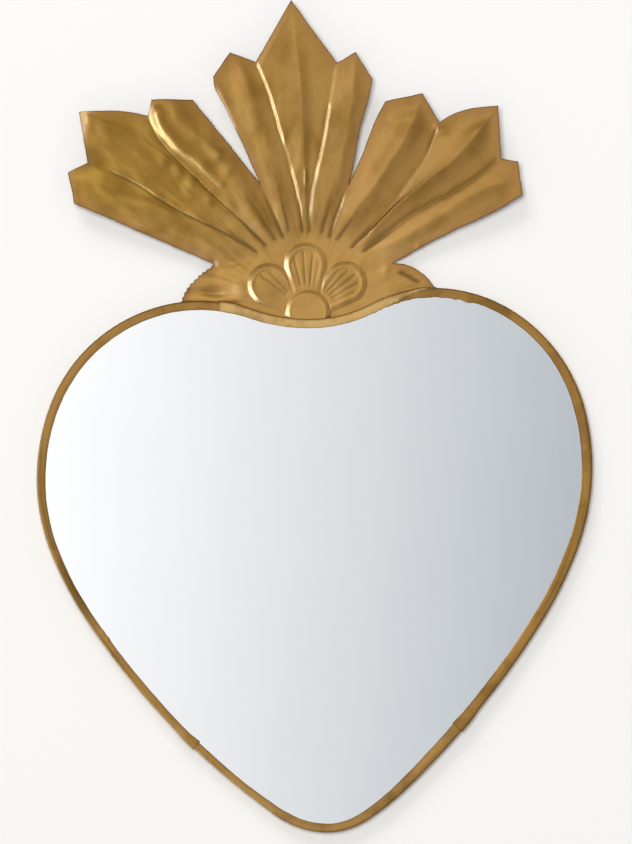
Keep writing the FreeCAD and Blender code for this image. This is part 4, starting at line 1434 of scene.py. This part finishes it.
# Beads, as the middle and the half size along each axis of their ball
LAP_BEAD = ((-3.8, 2.9), (0.3, 0.4), (0.25, 0.3))
TAB_BEAD = ((0.0, 3.9), (0.28, 0.28), (-0.8, 0.38))
STRAP_BEAD = ((-30.8, 9.9), (5.0, 0.55), (-0.3, 0.2))


def beads(name, node_name, places):
    """One piece of several beads. A place is a function from a point of a ball to a point in mm."""
    bm = bmesh.new()
    for k, place in enumerate(places):
        ball = bmesh.ops.create_icosphere(bm, subdivisions=BALL_DETAIL, radius=1.0)
        for vert in ball["verts"]:
            x, y, z = vert.co
            lump = ripple(x * LUMPS_ALONG, y + z, BEAD_LUMP, 60 + k)
            vert.co = place(vert.co * (1 + LUMPINESS * lump))
    bmesh.ops.recalc_face_normals(bm, faces=bm.faces)
    return finish_piece(bm, name, node_name, [soft_solder])


def sized(bead, ball):
    """A point of a ball, moved and stretched to a bead's middle and half sizes."""
    return [middle + half * share for (middle, half), share in zip(bead, ball)]


def lap_bead(edge, toward):
    def place(ball):
        depth, ahead, out = sized(LAP_BEAD, ball)
        x, z = heart(edge + toward * ahead, out)
        return Vector((x, depth, z))
    return place


def tab_bead(centre):
    def place(ball):
        ahead, out, depth = sized(TAB_BEAD, ball)
        x, z = heart(centre + ahead, out)
        return Vector((x, depth, z))
    return place


def strap_bead(side):
    def place(ball):
        z, x, depth = sized(STRAP_BEAD, ball)
        return Vector((side * x, depth, z))
    return place


lap_ends = [(-LAP_LEFT_OF_DIP - LAP_LENGTH, -1), (LAP_RIGHT_OF_DIP + LAP_LENGTH, 1)]
lap_ends += [(tip_right + LAP_LENGTH, 1), (tip_left - LAP_LENGTH, -1)]
beads("lap_solder_beads", "lap_solder", [lap_bead(edge, toward) for edge, toward in lap_ends])
beads("tab_solder_beads", "crest_solder", [tab_bead(centre) for centre in TAB_CENTRES])
beads("strap_solder_fillets", "strap_solder", [strap_bead(side) for side in (-1, 1)])

# %% [markdown]
# ## Camera, wall, floor and light
# The mirror hangs on a pale wall and is seen square on from far away. The wall only shows to the
# camera, and only from its front, so the back of the mirror can be looked at as well. Mirror and
# brass need something to reflect: the world gives them a soft studio, white at the left and
# cooler and darker towards the right.

# %% Camera
LENS = 400.0
SENSOR = 36.0
PHOTO_HEIGHT = 844
MM_PER_PIXEL = 0.55
AIM_X = 1.24
AIM_Z = -72.6
frame_height = PHOTO_HEIGHT * MM_PER_PIXEL
distance = frame_height * LENS / SENSOR
camera = add_object("camera", bpy.data.cameras.new("camera"))
camera.data.lens = LENS
camera.data.sensor_width = SENSOR
camera.data.clip_end = 100.0
camera.location = Vector((AIM_X, -RIM_DEPTH - distance, AIM_Z)) * MM
camera.rotation_euler = (math.pi / 2, 0.0, 0.0)
bpy.context.scene.camera = camera
print(f"camera {distance / 1000:.2f} m in front of the rim")

# %% Wall and floor
WALL_COLOUR = linear("#F9F8F6")
WALL_GAP = 0.4
WALL_SIZE = 3.0
FLOOR_AT = (0.0, -0.5, -0.62)
FLOOR_EVENNESS = 0.9


def plane_piece(name, material, size, turn, place):
    """A stage plane, made flat, turned and moved into place."""
    bm = bmesh.new()
    bmesh.ops.create_grid(bm, x_segments=1, y_segments=1, size=size)
    mesh = bpy.data.meshes.new(name)
    bm.to_mesh(mesh)
    bm.free()
    mesh.materials.append(material)
    plane = add_object(name, mesh)
    plane.rotation_euler = turn
    plane.location = place
    return plane


def pale_paint(name, evenness=0.0):
    """Matt paint that can't be seen from behind. The camera sees a share of it evenly lit."""
    material, tree = new_material(name)
    paint = node(tree, "BsdfDiffuse", {"Color": WALL_COLOUR})
    glow = node(tree, "Emission", {"Color": WALL_COLOUR, "Strength": 1.0})
    to_camera = node(tree, "LightPath").outputs["Is Camera Ray"]
    share = node(tree, "Math", {0: to_camera, 1: evenness}, operation="MULTIPLY")
    front = node(tree, "MixShader", {0: share, 1: paint, 2: glow})
    clear = node(tree, "BsdfTransparent")
    behind = node(tree, "NewGeometry").outputs["Backfacing"]
    seen = node(tree, "MixShader", {0: behind, 1: front, 2: clear})
    node(tree, "OutputMaterial", {0: seen})
    return material


wall_paint = pale_paint("wall_paint")
floor_paint = pale_paint("floor_paint", FLOOR_EVENNESS)
wall = plane_piece("wall", wall_paint, WALL_SIZE, (math.pi / 2, 0, 0), (0, WALL_GAP * MM, 0))
floor = plane_piece("floor", floor_paint, WALL_SIZE, (0, 0, 0), FLOOR_AT)
for plane in (wall, floor):
    plane.visible_diffuse = False
    plane.visible_glossy = False
    plane.visible_shadow = False
print("stage:", wall.name, floor.name)

# %% Lamps
def soft_lamp(name, place, target, size, power):
    """A soft box, width by height, that looks from its place at a target, in metres."""
    lamp = bpy.data.lights.new(name, "AREA")
    lamp.shape = "RECTANGLE"
    lamp.size, lamp.size_y = size
    lamp.energy = power
    box = add_object(name, lamp)
    box.location = place
    box.rotation_euler = (Vector(target) - Vector(place)).to_track_quat("-Z", "Y").to_euler()
    return box


CREST_MIDDLE = (0.0, 0.0, 0.03)
WINDOW_BLUE = (0.30, 0.45, 1.12)
key = soft_lamp("key", (-1.5, -3.0, 3.8), CREST_MIDDLE, (2.2, 2.2), 66.0)
fill = soft_lamp("fill", (-0.5, -5.0, 0.45), CREST_MIDDLE, (1.5, 1.5), 146.0)
for lamp in (key, fill):
    lamp.visible_glossy = False
panel_lamp = soft_lamp("left_panel", (-1.9, -1.0, -0.85), CREST_MIDDLE, (1.0, 3.4), 138.0)
panel_lamp.data.color = WINDOW_BLUE
panel_lamp.visible_diffuse = False
rear_lamp = soft_lamp("behind", (0.7, 1.8, 0.9), CREST_MIDDLE, (1.2, 1.2), 28.0)
rear_lamp.visible_diffuse = False
print("lamps:", key.name, fill.name, panel_lamp.name, rear_lamp.name)

# %% World
LEFT_WHITE = (1.14, 1.12, 1.11, 1.0)
RIGHT_GREY = linear("#BEC3C8")
STUDIO_WHITE = (1.0, 1.0, 1.0, 1.0)
REFLECTED_REACH = 0.031
REFLECTED_SHIFT = 0.002
AMBIENT = (0.31, 0.31, 0.31, 1.0)
BLACK = (0.0, 0.0, 0.0, 1.0)

world = bpy.data.worlds.new("studio")
bpy.context.scene.world = world
world.use_nodes = True
tree = world.node_tree
tree.nodes.clear()
way = node(tree, "TexCoord").outputs["Generated"]
right, ahead, up = node(tree, "SeparateXYZ", {0: way}).outputs
tilt = node(tree, "Math", {0: up, 1: -0.1, 2: right}, operation="MULTIPLY_ADD")
side = node(tree, "MapRange", {"Value": tilt, "From Min": -REFLECTED_REACH - REFLECTED_SHIFT,
                               "From Max": REFLECTED_REACH - REFLECTED_SHIFT})
screen = node(tree, "Mix", {0: side, 6: LEFT_WHITE, 7: RIGHT_GREY}, data_type="RGBA")
slant = node(tree, "Math", {0: up, 1: -0.8, 2: right}, operation="MULTIPLY_ADD")
shade = node(tree, "MapRange", {"Value": slant, "From Min": -0.35, "From Max": 0.55,
                                "To Min": 1.2, "To Max": 0.55})
height = node(tree, "MapRange", {"Value": up, "From Min": 0.35, "From Max": 0.85,
                                 "To Min": 1.0, "To Max": 0.35})
far_left = node(tree, "MapRange", {"Value": right, "From Min": -0.7, "From Max": -0.4,
                                   "To Min": 0.72, "To Max": 1.0})
shade = node(tree, "Math", {0: shade, 1: far_left}, operation="MULTIPLY")
level = node(tree, "Math", {0: shade, 1: height}, operation="MULTIPLY")
room = node(tree, "Mix", {0: level, 6: BLACK, 7: STUDIO_WHITE}, data_type="RGBA", clamp_factor=False)
off_screen = node(tree, "MapRange", {"Value": ahead, "From Min": -0.9975, "From Max": -0.99})
studio = node(tree, "Mix", {0: off_screen, 6: screen, 7: room}, data_type="RGBA")
path = node(tree, "LightPath")
plain = node(tree, "Mix", {0: path.outputs["Is Camera Ray"], 6: AMBIENT, 7: WALL_COLOUR}, data_type="RGBA")
shown = node(tree, "Mix", {0: path.outputs["Is Glossy Ray"], 6: plain, 7: studio}, data_type="RGBA")
sky = node(tree, "Background", {"Color": shown, "Strength": 1.0})
node(tree, "OutputWorld", {0: sky})
print("world:", len(tree.nodes), "nodes")

# %% View transform
bpy.context.scene.view_settings.view_transform = "Standard"
